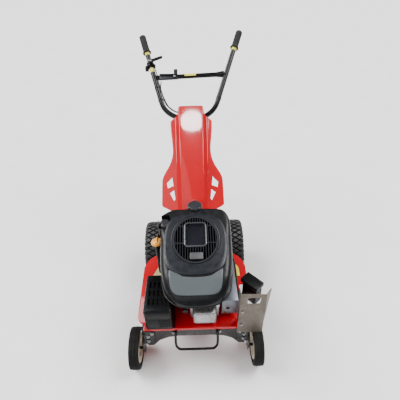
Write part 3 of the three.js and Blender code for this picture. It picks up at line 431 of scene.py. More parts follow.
def closed_path(points, count):
    """Evenly spaced (x, y) round a closed Catmull-Rom curve."""
    pts = [Vector((*p, 0)) for p in points]
    dense = smooth_path([pts[-1], *pts, pts[0], pts[1]], 16)[16:-16]
    lengths = [0.0]
    for a, b in zip(dense, dense[1:]):
        lengths.append(lengths[-1] + (b - a).length)
    out, k = [], 0
    for i in range(count):
        goal = lengths[-1] * i / count
        while lengths[k + 1] < goal:
            k += 1
        t = (goal - lengths[k]) / (lengths[k + 1] - lengths[k])
        out.append(dense[k].lerp(dense[k + 1], t)[:2])
    return out


def bezier(points, steps):
    """A Bezier curve through its control points, without its first point."""
    degree = len(points) - 1
    out = []
    for t in (i / steps for i in range(1, steps + 1)):
        shares = [comb(degree, k) * (1 - t) ** (degree - k) * t ** k for k in range(degree + 1)]
        out.append(tuple(sum(s * p[axis] for s, p in zip(shares, points)) for axis in (0, 1)))
    return out


def sweep(path, radius, sides=16, closed=False):
    """A round tube along row-frame points; radius in millimetres, or a function of 0..1 along it."""
    count = len(path)
    size = radius if callable(radius) else (lambda t: radius)
    normal = None
    loops = []
    for i, p in enumerate(path):
        before = path[i - 1] if i or closed else p
        after = path[(i + 1) % count] if i < count - 1 or closed else p
        tangent = (after - before).normalized()
        if normal is None:
            normal = tangent.orthogonal().normalized()
        normal = (normal - tangent * normal.dot(tangent)).normalized()
        side = tangent.cross(normal)
        r = size(i / max(count - 1, 1)) * MM
        loops.append([p + (normal * cos(a) + side * sin(a)) * r for a in turns(sides)])
    return hoop(loops) if closed else rings(loops)


def pipe(points, radius, sides, steps=6, make=at):
    """A round tube along a smooth path through drawing points."""
    return sweep(smooth_path([make(*p) for p in points], steps), radius, sides)


def quarter(steps, first=0):
    """Inset and drop from the wall to the top of a rounded edge, as shares of its radius."""
    angles = [pi / 2 * i / steps for i in range(first, steps + 1)]
    return [(1 - cos(angle), 1 - sin(angle)) for angle in angles]


def levels(place, outline, steps):
    """Loops from an outline, moved in by a distance and set at a height at each step."""
    return [[place(x, y, z) for x, y in inset(outline, d)] for d, z in steps]


def slab(place, outline, low, high, round_by=0.0, steps=3):
    """An outline raised from low to high along local z, with its top edge rounded."""
    if round_by <= 0:
        return rings([[place(x, y, z) for x, y in outline] for z in (low, high)])
    crown = [(round_by * d, high - round_by * drop) for d, drop in quarter(steps)]
    return rings(levels(place, outline, [(0.0, low), *crown]))


def inset(outline, distance):
    """A counter-clockwise outline moved inwards, square to itself; distance may depend on x and y."""
    depth = distance if callable(distance) else (lambda x, y: distance)
    out = []
    count = len(outline)
    for i, (x, y) in enumerate(outline):
        x0, y0 = outline[i - 1]
        x1, y1 = outline[(i + 1) % count]
        length = hypot(x1 - x0, y1 - y0)
        d = depth(x, y)
        out.append((x - (y1 - y0) / length * d, y + (x1 - x0) / length * d))
    return out


def shrunk(outline, centre, share):
    cx, cy = centre
    return [(cx + (x - cx) * share, cy + (y - cy) * share) for x, y in outline]


def divided(outline, count=None):
    """An outline with each side cut into a count of steps, or into steps of about 7 mm."""
    out = []
    for (x0, y0), (x1, y1) in edges(outline):
        steps = count or max(int(hypot(x1 - x0, y1 - y0) / 7), 1)
        out += [(x0 + (x1 - x0) * i / steps, y0 + (y1 - y0) * i / steps) for i in range(steps)]
    return out


def rounded(x0, x1, y0, y1, radius, steps=5):
    """A counter-clockwise rectangle with rounded corners."""
    out = []
    centres = ((x1 - radius, y0 + radius, -90), (x1 - radius, y1 - radius, 0),
               (x0 + radius, y1 - radius, 90), (x0 + radius, y0 + radius, 180))
    for cx, cy, first in centres:
        for i in range(steps + 1):
            angle = radians(first + 90 * i / steps)
            out.append((cx + radius * cos(angle), cy + radius * sin(angle)))
    return out


def brick(place, x0, x1, y0, y1, z0, z1):
    return slab(place, ((x0, y0), (x1, y0), (x1, y1), (x0, y1)), z0, z1)


def hexagon(radius):
    return [polar(radius, a) for a in turns(6)]


def bolts(rows):
    """A washer and a hexagon head for each origin, direction and size, standing on a face."""
    parts = []
    for origin, direction, size in rows:
        place = about(origin, direction)
        parts.append(lathe(rod(size * 0.85, 0, 1.2), place, 20))
        parts.append(slab(place, hexagon(size * 0.58), 1.2, 1.2 + size * 0.55, 0.8, 2))
    return parts


# ---- engine shroud

SHROUD_EDGE = [
    (0, 1), (40, 3), (80, 14), (112, 41), (133, 76), (147, 150), (152, 220), (153, 300),
    (150, 356), (132, 394), (97, 408), (0, 410), (-62, 408), (-104, 399), (-147, 372), (-163, 338),
    (-162, 310), (-150, 284), (-148, 220), (-144, 150), (-130, 76), (-111, 41), (-80, 14), (-40, 3),
]
SHROUD_PROFILE = [
    (-10, 352), (1, 364), (10, 377), (25, 386), (92, 422), (143, 436), (362, 500), (412, 514),
]
COLLAR_EDGE = [
    (0, -161), (60, -156), (104, -132), (124, -88), (132, -20), (127, 52), (104, 104), (56, 126),
    (0, 130), (-56, 126), (-104, 104), (-127, 52), (-132, -20), (-129, -88), (-109, -132), (-62, -156),
]
PANEL_EDGE = [
    (0, 29), (62, 31), (88, 42), (100, 66), (106, 124), (93, 110), (58, 96), (0, 91), (-62, 97),
    (-96, 112), (-108, 124), (-104, 68), (-90, 42), (-66, 31),
]
PANEL_CENTRE = (4.0, 62.0)
PANEL_SECTION = (                                  # scale about the centre, lift off the shroud
    (1.0, -0.8), (1.0, 0.5), (0.985, 1.3), (0.9, 1.5), (0.75, 1.5), (0.6, 1.5), (0.45, 1.5), (0.3, 1.5),
    (0.12, 1.5),
)
COLLAR_SECTION = (                                 # share from the outer to the inner edge, shift, z
    (0, 0, -14), (0, 0, -5), (0, -1.3, -2), (0, -4.5, -0.2), (0.35, 0, 0.6), (1, 13, 0.9),
    (1, 9, 1.4), (1, 4, 1.6), (1, 1.5, 1.0), (1, 0.2, 0), (1, 0, -9), (0.7, 0, -14),
)
PULL_POCKET, PULL_FLOOR = (-157, -107, 306, 372, 12), 447
SHROUD_RIM_Z = 350
SHOULDER, REAR_SHOULDER, PULL_SHOULDER = 30, 19, 9
OVAL = (98.0, 113.5)
FILLER_FOOT, FILLER_AIM, FILLER_LENGTH = (-160, 268, 256), (-0.04, 0.114, 0.993), 162
PULL_FROM, PULL_AIM = (-133, 344, 472), (-0.12, 0.04, 0.992)
FUEL_CAP_AT = (0, 420, 484)


def shroud_height(y):
    for (y0, z0), (y1, z1) in zip(SHROUD_PROFILE, SHROUD_PROFILE[1:]):
        if y <= y1:
            return z0 + (z1 - z0) * (y - y0) / (y1 - y0)
    return SHROUD_PROFILE[-1][1]


def soft_height(y, reach=7):
    """The profile with its creases rounded off."""
    steps = 6
    return sum(shroud_height(y + reach * (2 * i / steps - 1)) for i in range(steps + 1)) / (steps + 1)


def shoulder(x, y):
    """Rounding where the wall meets the top: broad in front, tighter behind and beside the pull grip."""
    back = min(max((y - 250) / 80, 0), 1)
    left = min(max((-x - 50) / 50, 0), 1)
    rear = REAR_SHOULDER + (PULL_SHOULDER - REAR_SHOULDER) * left
    return SHOULDER + (rear - SHOULDER) * back


def crowned(edge, bottom, lower):
    """The shroud's shell surface: wall, rounded shoulder and profiled top, as one part."""
    loops = [[(x, y, bottom) for x, y in edge]]
    for share, drop_share in quarter(9):
        crest = inset(edge, lambda x, y: shoulder(x, y) * share)
        loop = []
        for (x, y), (x0, y0) in zip(crest, edge):
            top = soft_height(y) - lower
            loop.append((x, y, top - min(shoulder(x0, y0), (top - bottom) * 0.55) * drop_share))
        loops.append(loop)
    for scale in (0.94, 0.88, 0.81, 0.74, 0.67, 0.59, 0.5, 0.4, 0.3, 0.2, 0.1):
        loops.append([(x, y, soft_height(y) - lower) for x, y in shrunk(crest, (0, CRANK_Y), scale)])
    return rings([[engine(*p) for p in loop] for loop in loops])


def oval(grow=0.0, count=96):
    return [((OVAL[0] + grow) * cos(a), (OVAL[1] + grow) * sin(a)) for a in turns(count)]


def radial(outline, count):
    """Distance from the origin to an outline in evenly spaced directions."""
    out = []
    for angle in turns(count):
        dx, dy = cos(angle), sin(angle)
        best = 0.0
        for (x0, y0), (x1, y1) in edges(outline):
            ex, ey = x1 - x0, y1 - y0
            cross = dx * ey - dy * ex
            if abs(cross) < 1e-9:
                continue
            t, u = (x0 * ey - y0 * ex) / cross, (x0 * dy - y0 * dx) / cross
            if t > 0 and -1e-9 <= u <= 1 + 1e-9:
                best = max(best, t)
        out.append(best)
    return out


def make_shroud():
    edge = closed_path(SHROUD_EDGE, 132)
    shroud = new_piece("shroud_shell", "shroud", crowned(edge, SHROUD_RIM_Z, 0), node="engine_shroud")
    top = BVHTree.FromObject(shroud, bpy.context.evaluated_depsgraph_get())

    def skin(x, y, lift):
        hit = top.ray_cast(engine(x, y, 700), Vector((0, 0, -1)))[0]
        return (hit or engine(x, y, 448)) + Vector((0, 0, lift * MM))

    pocket = rounded(*PULL_POCKET)
    cap_place = about(FUEL_CAP_AT, UPWARD, engine)
    for cutter in (
        crowned(inset(edge, 3), SHROUD_RIM_Z - 1, 3),
        slab(on_screen, oval(1.5), -60, 20),
        slab(engine, pocket, 420, 560),
        lathe([(37, -6), (37, 60)], cap_place),
        lathe([(23, -140), (23, 60)], cap_place),
        lathe([(26, FILLER_LENGTH - 4), (26, 260)], about(FILLER_FOOT, FILLER_AIM, engine)),
    ):
        carve(shroud, cutter)
    shade(shroud.data, 32)

    # Rolled bead along the shroud's lower edge.
    bead = [engine(x, y, SHROUD_RIM_Z + 1.5) for x, y in edge]
    new_piece("shroud_bead", "shroud", sweep(bead, 2.6, 10, closed=True))

    # Lighter panel let into the sloping front.
    outline = closed_path(PANEL_EDGE, 84)
    new_piece("shroud_panel", "panel", rings([
        [skin(x, y, lift) for x, y in shrunk(outline, PANEL_CENTRE, scale)] for scale, lift in PANEL_SECTION
    ]))
    new_piece("panel_seam", "screen", sweep([skin(x, y, 0.2) for x, y in outline], 1.3, 8, closed=True))

    # Collar round the intake screen.
    count = 120
    outer, inner = radial(closed_path(COLLAR_EDGE, count), count), radial(oval(1.2), count)
    loops = []
    for share, shift, z in COLLAR_SECTION:
        loop = []
        for angle, far, near in zip(turns(count), outer, inner):
            reach = far + (near - far) * share + shift
            loop.append(on_screen(*polar(reach, angle), z))
        loops.append(loop)
    new_piece("screen_collar", "collar", hoop(loops))

    # Tub that the pull grip sits in.
    outside = inset(pocket, -2)
    new_piece("pull_grip_tub", "screen", rings([
        [engine(x, y, PULL_FLOOR - 2) for x, y in outside], [skin(x, y, -1.2) for x, y in outside],
        [skin(x, y, -1.2) for x, y in pocket], [engine(x, y, PULL_FLOOR) for x, y in pocket],
    ]))


# Boxes on the screen as x0, x1, y0, y1.
PAD, PLATE, SLOT = (-46.0, 46.0, -37.0, 78.0), (-24.0, 30.0, -96.0, -66.0), (-24.0, 30.0, -109.0, -97.0)
SLAT_PITCH, SLAT_HALF = 10.6, 1.9
SCREEN_RIM = ((0, -8), (0, 0.4), (-1.5, 1.6), (-5, 1.8), (-8, 1.0), (-9, -1), (-9, -8))
PAD_SECTION = ((-2, -16), (-2, 3), (0, 4.6), (2, 5.0), (4, 4.4), (6, 2.4), (9, -2), (13, -6))
PAD_DISH = ((0.85, -8.5), (0.65, -10.5), (0.4, -12), (0.15, -12.6))
COWL_SECTION = ((27, 346), (101, 346), (103, 350), (103, None), (105, None), (105, 344), (27, 344))


def cleared(spans, low_gap, high_gap):
    """Spans along a slat with one gap taken out."""
    out = []
    for low, high in spans:
        out += [(a, b) for a, b in ((low, min(high, low_gap)), (max(low, high_gap), high)) if b - a > 5]
    return out


def make_screen():
    """Slatted intake: an oval rim, slats, two cross ribs, a dished square pad and a blank plate."""
    half_x, half_y = OVAL
    bars = [hoop([[on_screen(x, y, z) for x, y in oval(grow)] for grow, z in SCREEN_RIM])]
    half = SLAT_HALF
    section = [(-half, -7), (-half, 0.6), (-1.0, 1.9), (1.0, 1.9), (half, 0.6), (half, -7)]
    for i in range(-9, 10):
        x = i * SLAT_PITCH
        reach = (half_y - 8) * sqrt(max(1 - (x / (half_x - 6)) ** 2, 0))
        if reach < 12:
            continue
        spans = [(-reach, reach)]
        for x0, x1, y0, y1 in (PAD, PLATE, SLOT):
            if x0 - 2 < x < x1 + 2:
                spans = cleared(spans, y0, y1)
        bars += [rings([[on_screen(x + dx, y, z) for dx, z in section] for y in ends]) for ends in spans]
    for y in (-20.0, 63.0):
        reach = (half_x - 6) * sqrt(1 - (y / half_y) ** 2)
        for x0, x1 in ((-reach, PAD[0] - 1), (PAD[1] + 1, reach)):
            bars.append(brick(on_screen, x0, x1, y - 1.8, y + 1.8, -6, 2.2))
    new_piece("screen_slats", "slat", *bars, node="starter_grille")

    # Dished pad with a raised rim.
    outline = rounded(*PAD, 16, 8)
    loops = levels(on_screen, outline, PAD_SECTION)
    floor_edge, middle = inset(outline, PAD_SECTION[-1][0]), (0, (PAD[2] + PAD[3]) / 2)
    loops += [[on_screen(x, y, z) for x, y in shrunk(floor_edge, middle, share)] for share, z in PAD_DISH]
    # The rim's lighter grey is a painted highlight; the dish keeps the pad's own colour.
    new_piece("pad_rim", "rim_highlight_grey", rings(loops[:5], end_cap=False))
    new_piece("pad_dish", "pad", rings(loops[4:], start_cap=False))

    x0, x1, _, y1 = PLATE
    new_piece("screen_plate", "plate", slab(on_screen, rounded(*PLATE, 3), 1, 5.5, 1.4))
    # Near-black backing under the plate and across the slot below it: painted shade in the opening.
    new_piece("screen_plate_seat", "shade_black", brick(on_screen, x0 - 3, x1 + 3, SLOT[2] - 1, y1 + 3, -8, -0.5))

    # Cowl round the flywheel, seen between the slats; its near-black finish is painted shade for the dark
    # inside the shroud. Its wall follows the screen's lean.
    loops = []
    for radius, z in COWL_SECTION:
        ring = [polar(radius, a) for a in turns(72)]
        loops.append([
            engine(x, CRANK_Y + y, z or SCREEN_Z + y * tan(SCREEN_LEAN) - 17) for x, y in ring
        ])
    new_piece("flywheel_cowl", "shade_black", hoop(loops))


# ---- hood

HOOD_THICK = 3.0
HOOD_LIP = 9.0
WINDOWS = (
    ((102, 182), (133, 150), (128, 119), (96, 131)),
    ((93, 113), (117, 95), (96, 50), (87, 60)),
)


def hood_outline():
    right = [(104, 0), (130, 15), (150, 26), (156, 33), (156.2, 60), (156, 95), (155.6, 130), (155, 160)]
    right += bezier(((155, 160), (153, 212), (100, 235), (99, 330)), 14)
    right += bezier(((99, 330), (99, 380), (111, 400), (112, 494)), 12)
    right += [(110, 502), (94, 515), (78, 528), (72, 534), (70, 542), (69, 556), (68, 565)]
    right += bezier(((68, 565), (68, 575), (64, 579), (56, 579)), 5)
    return right + [(-x, y) for x, y in reversed(right)]


def hood_height(x, s):
    """Height of the hood's skin off its plane: a raised spine with creased edges between flat wings."""
    half = 55 + 9 * min(max(s / 560, 0), 1)
    share = 1 - min(max((abs(x) - half) / 21, 0), 1)
    crown = 2.2 * (1 - (min(abs(x), half) / half) ** 2)
    foot = min(max(s / 50, 0), 1)
    rise = (20 * share + crown * share) * (0.45 + 0.55 * foot ** 0.8)
    out = max(abs(x) - 86, 0)
    return rise - 0.055 * out - 0.0006 * out ** 2


def smoothed_height(x, s, reach=2.6):
    return sum(hood_height(x + dx, s + dy) for dx in (-reach, 0, reach) for dy in (-reach, 0, reach)) / 9


def make_hood():
    loops = []
    for s in (-8 + i * 6.0 for i in range(101)):
        top = [(x, smoothed_height(x, s)) for x in (i * 4.0 for i in range(-41, 42))]
        under = [(x, z - HOOD_THICK) for x, z in reversed(top)]
        loops.append([on_hood(x, s, z) for x, z in top + under])
    hood = new_piece("hood_skin", "red", rings(loops), node="hood")
    outline = hood_outline()
    carve(hood, slab(on_hood, inset(outline, 0.4), -60, 60), "INTERSECT")
    openings = [[(side * x, y) for x, y in window] for side in (1, -1) for window in WINDOWS]
    for opening in openings:
        carve(hood, slab(on_hood, opening, -60, 60))
    shade(hood.data, 24)

    # Turned-down edge with a rolled bead, all round the skin and round each window.
    dense = divided(outline)
    edge = [hoop([
        [on_hood(x, y, smoothed_height(*raw) + drop) for (x, y), raw in zip(inset(dense, d), dense)]
        for d, drop in ((0.0, -1.6), (0.0, -HOOD_LIP), (2.2, -HOOD_LIP), (2.2, -1.6))
    ])]
    beads = [(inset(dense, 1.9), 1.8, 2.3, 10)]
    beads += [(divided(opening, 8), 1.6, 2.0, 8) for opening in openings]
    for path, drop, radius, sides in beads:
        bead = [on_hood(x, y, smoothed_height(x, y) - drop) for x, y in path]
        edge.append(sweep(bead, radius, sides, closed=True))
    new_piece("hood_edge", "red", *edge)


# ---- wheels

FRONT_R, FRONT_OUT, FRONT_WIDE, FRONT_RIM = 85.8, 275.5, 41.5, 60.0
REAR_R, REAR_OUT, REAR_WIDE, REAR_RIM, REAR_Y = 142.0, 249.0, 86.0, 66.0, 531.0
BLOCK_FACES = [(0, 1, 2, 3), (7, 6, 5, 4), (0, 4, 5, 1), (1, 5, 6, 2), (2, 6, 7, 3), (3, 7, 4, 0)]
LUG_OUTLINE = [(-1, 0), (-0.5, 0.5), (0, 1), (0.5, 0.5), (1, 0), (0.5, -0.5), (0, -1), (-0.5, -0.5)]
LUG_COUNT, LUG_WIDE, GROOVE = 32, 19.5, 9.0


def make_front_wheel(name, side):
    half = FRONT_WIDE / 2
    place = wheel_frame((side * (FRONT_OUT - half), 0, FRONT_R), side)
    body = f"front_wheel_{name}"
    base = FRONT_R - 1.8
    flank = [(FRONT_RIM, -half + 3), (FRONT_RIM + 6, -half + 1.2), (FRONT_RIM + 14, -half + 0.3),
             (base - 5, -half), (base - 1.5, -half + 2.5), (base, -half + 6)]
    tyre = [lathe([*flank, *mirrored(flank), (FRONT_RIM - 0.5, 0)], place, 96, join=hoop)]
    step = 2 * pi / 66
    for low, high, shift in ((-half + 0.6, -7.6, 0.5), (-6.4, 6.4, 0.0), (7.6, half - 0.6, 0.5)):
        drop_low, drop_high = (1.6 if abs(z) > 15 else 0 for z in (low, high))
        for i in range(66):
            first = (i + shift) * step
            corners = []
            for radius, trim in ((base - 2.5, 0.0), (FRONT_R - 0.1, 0.6)):
                ends = ((low + trim, radius - drop_low), (high - trim, radius - drop_high))
                for angle, order in ((first, ends), (first + step * 0.80, ends[::-1])):
                    corners += [place(*polar(r, angle), z) for z, r in order]
            tyre.append((corners, BLOCK_FACES))
    new_piece(f"front_tread_{name}", "tyre", *tyre, body=body, node=f"front_tyre_{name}")
    make_rim("front", name, place, body, FRONT_RIM - 0.6, half, 6.4, 6)


def make_rim(axle, name, place, body, radius, half, bore, spokes):
    """A moulded wheel centre: dished web on both faces with ribs, a hub and a flanged rim."""
    deep = half - 5
    flank = [
        (bore, -deep), (bore + 9, -deep), (bore + 10.5, -deep + 1.5), (bore + 12, -5.5),
        (radius - 13, -4.5), (radius - 8, -half + 5), (radius - 5.5, -half + 2.6), (radius - 2, -half + 1.6),
        (radius, -half + 3),
    ]
    rim = [lathe([*flank, *mirrored(flank)], place, 72, join=hoop)]
    for angle in turns(spokes):
        c, s = cos(angle), sin(angle)

        def spoke(x, y, z):
            return place(x * c - y * s, x * s + y * c, z)

        for sign in (-1, 1):
            loops = []
            for x, height in ((bore + 8, deep - 2), (radius * 0.55, 10), (radius - 9, deep - 1)):
                top, low = sign * height, sign * 3
                loops.append([spoke(x, -3, low), spoke(x, 3, low), spoke(x, 2.1, top), spoke(x, -2.1, top)])
            rim.append(rings(loops))
    new_piece(f"{axle}_hub_{name}", "cream", *rim, body=body, node=f"{axle}_rim_{name}")


def tread_radius(z):
    """Crown of the drive tyre over its half width."""
    share = min(abs(z) / (REAR_WIDE / 2), 1)
    return REAR_R - 1.0 * share ** 2 - 9 * max(share - 0.62, 0) ** 1.6 / 0.38 ** 1.6


def tyre_lug(place, angle, centre, reach_low, reach_high):
    """A diamond block; its far corner may run down the shoulder."""
    half = REAR_WIDE / 2
    long = 2 * pi / LUG_COUNT * 0.43
    loops = []
    for lift, shrink in ((-GROOVE - 1.5, 0.98), (-1.2, 0.84), (-0.2, 0.74)):
        loop = []
        for a, b in LUG_OUTLINE:
            z = centre + b * shrink * (reach_high if b > 0 else reach_low)
            turn = angle + a * shrink * long
            limit = half - 0.4 if lift > -2 else half - 9
            edge = max(abs(z) - limit, 0)
            z = max(min(z, limit), -limit)
            r = tread_radius(z) + lift - edge * 1.4
            loop.append(place(*polar(r, turn), z))
        loops.append(loop)
    corners, faces = rings(loops, end_cap=False)
    r = tread_radius(centre) - 0.1
    tip = len(corners)
    corners.append(place(*polar(r, angle), centre))
    return corners, faces + [(a, b, tip) for a, b in edges([*range(16, 24)])]


def make_rear_wheel(name, side):
    half = REAR_WIDE / 2
    place = wheel_frame((side * (REAR_OUT - half), REAR_Y, REAR_R), side)
    flank = [(REAR_RIM, -half + 11), (REAR_RIM + 5, -half + 9), (REAR_RIM + 16, -half + 6.5),
             (REAR_RIM + 30, -half + 5.5), (REAR_R - 32, -half + 6), (REAR_R - 22, -half + 8)]
    across = [-half + 11 + (REAR_WIDE - 22) * i / 12 for i in range(13)]
    floor = [(tread_radius(z) - GROOVE, z) for z in across]
    profile = [*flank, *floor, *mirrored(flank), (REAR_RIM - 0.5, 0)]
    wheel = {"body": "rear_axle", "node": f"rear_tyre_{name}"}
    new_piece(f"rear_carcass_{name}", "tyre", lathe(profile, place, 96, join=hoop), **wheel)
    step = 2 * pi / LUG_COUNT
    lugs = []
    for i in range(LUG_COUNT):
        for shift, centre, low, high in (
            (0, 0.0, LUG_WIDE, LUG_WIDE), (0.5, 22.0, LUG_WIDE, LUG_WIDE + 6),
            (0.5, -22.0, LUG_WIDE + 6, LUG_WIDE), (0, 41.0, LUG_WIDE, 18), (0, -41.0, 18, LUG_WIDE),
        ):
            lugs.append(tyre_lug(place, (i + shift) * step, centre, low, high))
    shade(new_piece(f"rear_lugs_{name}", "lug", *lugs, **wheel).data, 28)
    make_rim("rear", name, place, "rear_axle", REAR_RIM - 0.6, half - 7, 10.4, 5)
    axle_end = wheel_frame((side * (REAR_OUT - 10), REAR_Y, REAR_R), side)
    cap = lathe([(0.1, -1), (9.4, -1), (9.4, 3), (8.0, 5), (0.1, 5.4)], axle_end, 28)
    new_piece(f"rear_axle_end_{name}", "steel", cap, body="rear_axle")


# ---- handlebar

BAR_R, CROSS_R, GRIP_R, GRIP_FLANGE = 14.0, 13.0, 19.5, 25.0
GRIP_BACK, GRIP_LONG = 125, 119
LEGS = {
    "left": ((-162.0, 100.0), (-277.0, 550.0)),
    "right": ((151.0, 100.0), (301.0, 567.0)),
}
CROSS_Y = {"left": 260, "right": 273}
BODY_BAR = "handlebar_assembly"


def leg_point(name, y):
    (x0, y0), (x1, y1) = LEGS[name]
    return x0 + (x1 - x0) * (y - y0) / (y1 - y0), y


def leg_aim(name):
    (x0, y0), (x1, y1) = LEGS[name]
    length = hypot(x1 - x0, y1 - y0)
    return (x1 - x0) / length, (y1 - y0) / length, 0


def leg_back(name, distance):
    """A point on a leg's centre line, a distance back from its tip."""
    x, y = LEGS[name][1]
    dx, dy, _ = leg_aim(name)
    return x - dx * distance, y - dy * distance


def on_leg(name, point):
    """A place() on a leg's centre line, with local z towards the leg's tip."""
    return about((*point, 0), leg_aim(name), on_bar)


def yellow_band(name, place, ends, width=0.6):
    """A sleeve round a leg; ends are where its foot and its top start and stop."""
    low, low_top, high_top, high = ends
    profile = [(BAR_R - 0.5, low), (BAR_R + width, low_top), (BAR_R + width, high_top), (BAR_R - 0.5, high)]
    new_piece(f"yellow_band_{name}", "yellow_label", lathe(profile, place, 36), body=BODY_BAR)


def grip_flutes(angle, height):
    return -0.03 * (0.5 + 0.5 * cos(18 * angle)) if 10 < height < GRIP_LONG - 8 else 0


def cross_radius(t):
    """The cross tube, slightly flared where it is welded to each leg."""
    return CROSS_R + 6.5 * max(t - 0.88, 0) / 0.12 + 1.5 * max(0.05 - t, 0) / 0.05


def make_handlebar():
    left_foot, right_foot = LEGS["left"][0], LEGS["right"][0]
    line = [leg_back("left", d) for d in (8, 60, 120, 180, 240, 300, 360, 420)] + [left_foot]
    line += bezier((left_foot, (-149, 50), (-108, 22)), 12)
    line += bezier(((-108, 22), (-76, 0), (-50, 0)), 10) + [(-25, 0), (0, 0), (25, 0), (50, 0)]
    line += bezier(((50, 0), (74, 0), (102, 24)), 10) + bezier(((102, 24), (135, 50), right_foot), 12)
    line += [leg_back("right", d) for d in (430, 370, 310, 250, 190, 120, 60, 8)]
    new_piece("handlebar_tube", "black_paint", sweep([on_bar(x, y) for x, y in line], BAR_R, 28),
              body=BODY_BAR, node="handlebar")

    x0, y0 = leg_point("left", CROSS_Y["left"])
    x1, y1 = leg_point("right", CROSS_Y["right"])
    x0, x1 = x0 + BAR_R - 1, x1 - BAR_R + 1
    path = [on_bar(x0 + (x1 - x0) * i / 60, y0 + (y1 - y0) * i / 60) for i in range(61)]
    new_piece("cross_tube", "black_paint", sweep(path, cross_radius, 26), body=BODY_BAR, node="crossbar")

    profile = [(BAR_R + 0.2, 0.2), (GRIP_FLANGE - 2, 0), (GRIP_FLANGE - 0.3, 1), (GRIP_FLANGE, 2.5),
               (GRIP_FLANGE - 0.4, 4.4), (GRIP_FLANGE - 3, 5.4), (GRIP_R - 0.4, 7)]
    z = 10.0
    while z < GRIP_LONG - 12:
        profile += [(GRIP_R, z), (GRIP_R, z + 2.8), (GRIP_R - 1.0, z + 3.6), (GRIP_R - 1.0, z + 4.8)]
        z += 5.6
    profile += [(GRIP_R, GRIP_LONG - 6), (GRIP_R, GRIP_LONG - 3.5), (GRIP_R - 1.4, GRIP_LONG - 1.2),
                (GRIP_R - 5, GRIP_LONG), (0.2, GRIP_LONG)]
    for name in LEGS:
        place = on_leg(name, leg_back(name, GRIP_BACK))
        new_piece(f"grip_sleeve_{name}", "grip", lathe(profile, place, 72, grip_flutes),
                  body=BODY_BAR, node=f"grip_{name}")
        yellow_band(name, place, (-19, -18.6, -1, -0.5))
    yellow_band("throttle", on_leg("left", leg_point("left", 306)), (-13, -12.5, 12.5, 13))

    arc = [radians(a) for a in range(10, 116, 15)]
    loops = []
    for x in (-30, 34):
        y = y0 + (y1 - y0) / (x1 - x0) * (x - x0)
        outer, inner = ([on_bar(x, y + r * cos(a), r * sin(a)) for a in arc]
                        for r in (CROSS_R + 0.5, CROSS_R - 0.5))
        loops.append(outer + inner[::-1])
    new_piece("crossbar_label", "yellow_label", rings(loops), body=BODY_BAR)

    ties = []
    for name, y in (("left", 190), ("left", 112), ("right", 116)):
        side = 1 if name == "left" else -1
        spot = on_leg(name, leg_point(name, y))
        loop = [spot(*polar(BAR_R + 1.2, a), 0) for a in turns(28)]
        ties += [sweep(loop, 1.2, 6, closed=True),
                 brick(spot, -4 * side - 3, -4 * side + 3, -3, 3, BAR_R, BAR_R + 5)]
    new_piece("cable_ties", "black_plastic", *ties, body=BODY_BAR)


# ---- controls and cables

THROTTLE_Y = 346
THROTTLE_TURN = (-220.87, 352)
DRIVE_LEVER_PIVOT = (-87, 252)


def make_controls():
    hub_x, hub_y = THROTTLE_TURN
    collar = [(BAR_R + 0.4, -14), (20.2, -14), (21, -13), (21, -4), (20, -3)]
    clamp = [lathe(collar + mirrored(collar), on_leg("left", leg_point("left", THROTTLE_Y)), 40)]
    seat = about((hub_x, hub_y, 14), UPWARD, on_bar)
    clamp.append(lathe([(0.1, 0), (13, 0), (13, 11), (12, 12), (0.1, 12)], seat, 36))
    for x0, x1, y0, y1, z0, z1 in ((-34, -14, -46, -14, -4, 9), (10, 26, -30, -10, 4, 17)):
        outline = rounded(hub_x + x0, hub_x + x1, hub_y + y0, hub_y + y1, 5)
        clamp.append(slab(on_bar, outline, z0, z1, 2.5))
    new_piece("throttle_clamp", "black_plastic", *clamp, body=BODY_BAR, node="throttle_housing")
    screw = [(0.1, 0), (6.4, 0), (6.4, 1.2), (5.4, 1.4), (4.8, 4), (3.4, 5), (0.1, 5.2)]
    new_piece("throttle_screw", "steel", lathe(screw, about((hub_x, hub_y, 33), UPWARD, on_bar), 28),
              body="throttle_lever")
    nut = about((hub_x - 14, hub_y + 13, 13), UPWARD, on_bar)
    new_piece("throttle_nut", "steel", slab(nut, hexagon(6), 0, 8, 1.5, 2), body=BODY_BAR)
    head = about((*DRIVE_LEVER_PIVOT, 23.4), UPWARD, on_bar)
    new_piece("drive_lever_bolt", "steel", lathe(rod(7, 0, 1.2), head, 24),
              slab(head, hexagon(4.8), 1.2, 5, 0.8, 2), body="drive_lever")


CABLES = {
    "throttle_cable": (BODY_BAR, on_bar, 3.0, [
        (-203, 326, 17), (-196, 304, 17), (-186, 268, 20), (-176, 220, 12), (-152, 130, 10), (-137, 84, 11),
        (-112, 52, 11), (-88, 35, 11), (-70, 27, 12), (-56, 20, 15), (-52, 4, 20.5), (-52, -12, 18.5),
        (-52, -24, 6),
    ]),
    "drive_cable": (BODY_BAR, on_bar, 3.0, [
        (-162, 224, 16), (-165, 210, 9), (-166, 190, 4), (-156, 150, 3), (-144, 116, 3), (-126, 76, 3),
        (-104, 54, 3), (-80, 37, 4), (-58, 34, 10), (0, 30, 15), (44, 24, 16), (52, 6, 20.5),
        (52, -12, 18.5), (52, -24, 6),
    ]),
    "throttle_cable_lower": ("chassis", at, 3.0, [
        (-52, 968, 640), (-48, 930, 612), (-44, 840, 548), (-44, 740, 475), (-44, 650, 408),
        (-46, 600, 350), (-60, 570, 270), (-100, 530, 240), (-108, 440, 236), (-112, 330, 235),
        (-108, 230, 236), (-84, 170, 246), (-66, 150, 270),
    ]),
    "drive_cable_lower": ("chassis", at, 3.0, [
        (52, 968, 640), (48, 930, 612), (44, 840, 548), (44, 740, 475), (44, 650, 408),
        (46, 600, 350), (58, 560, 260), (70, 545, 230),
    ]),
    "wiring_loom": ("chassis", at, 4.0, [
        (150, 330, 338), (168, 290, 330), (178, 240, 312), (179, 170, 296), (179, 100, 286),
        (179, 50, 274), (179, 36, 252), (179, 30, 230),
    ]),
}


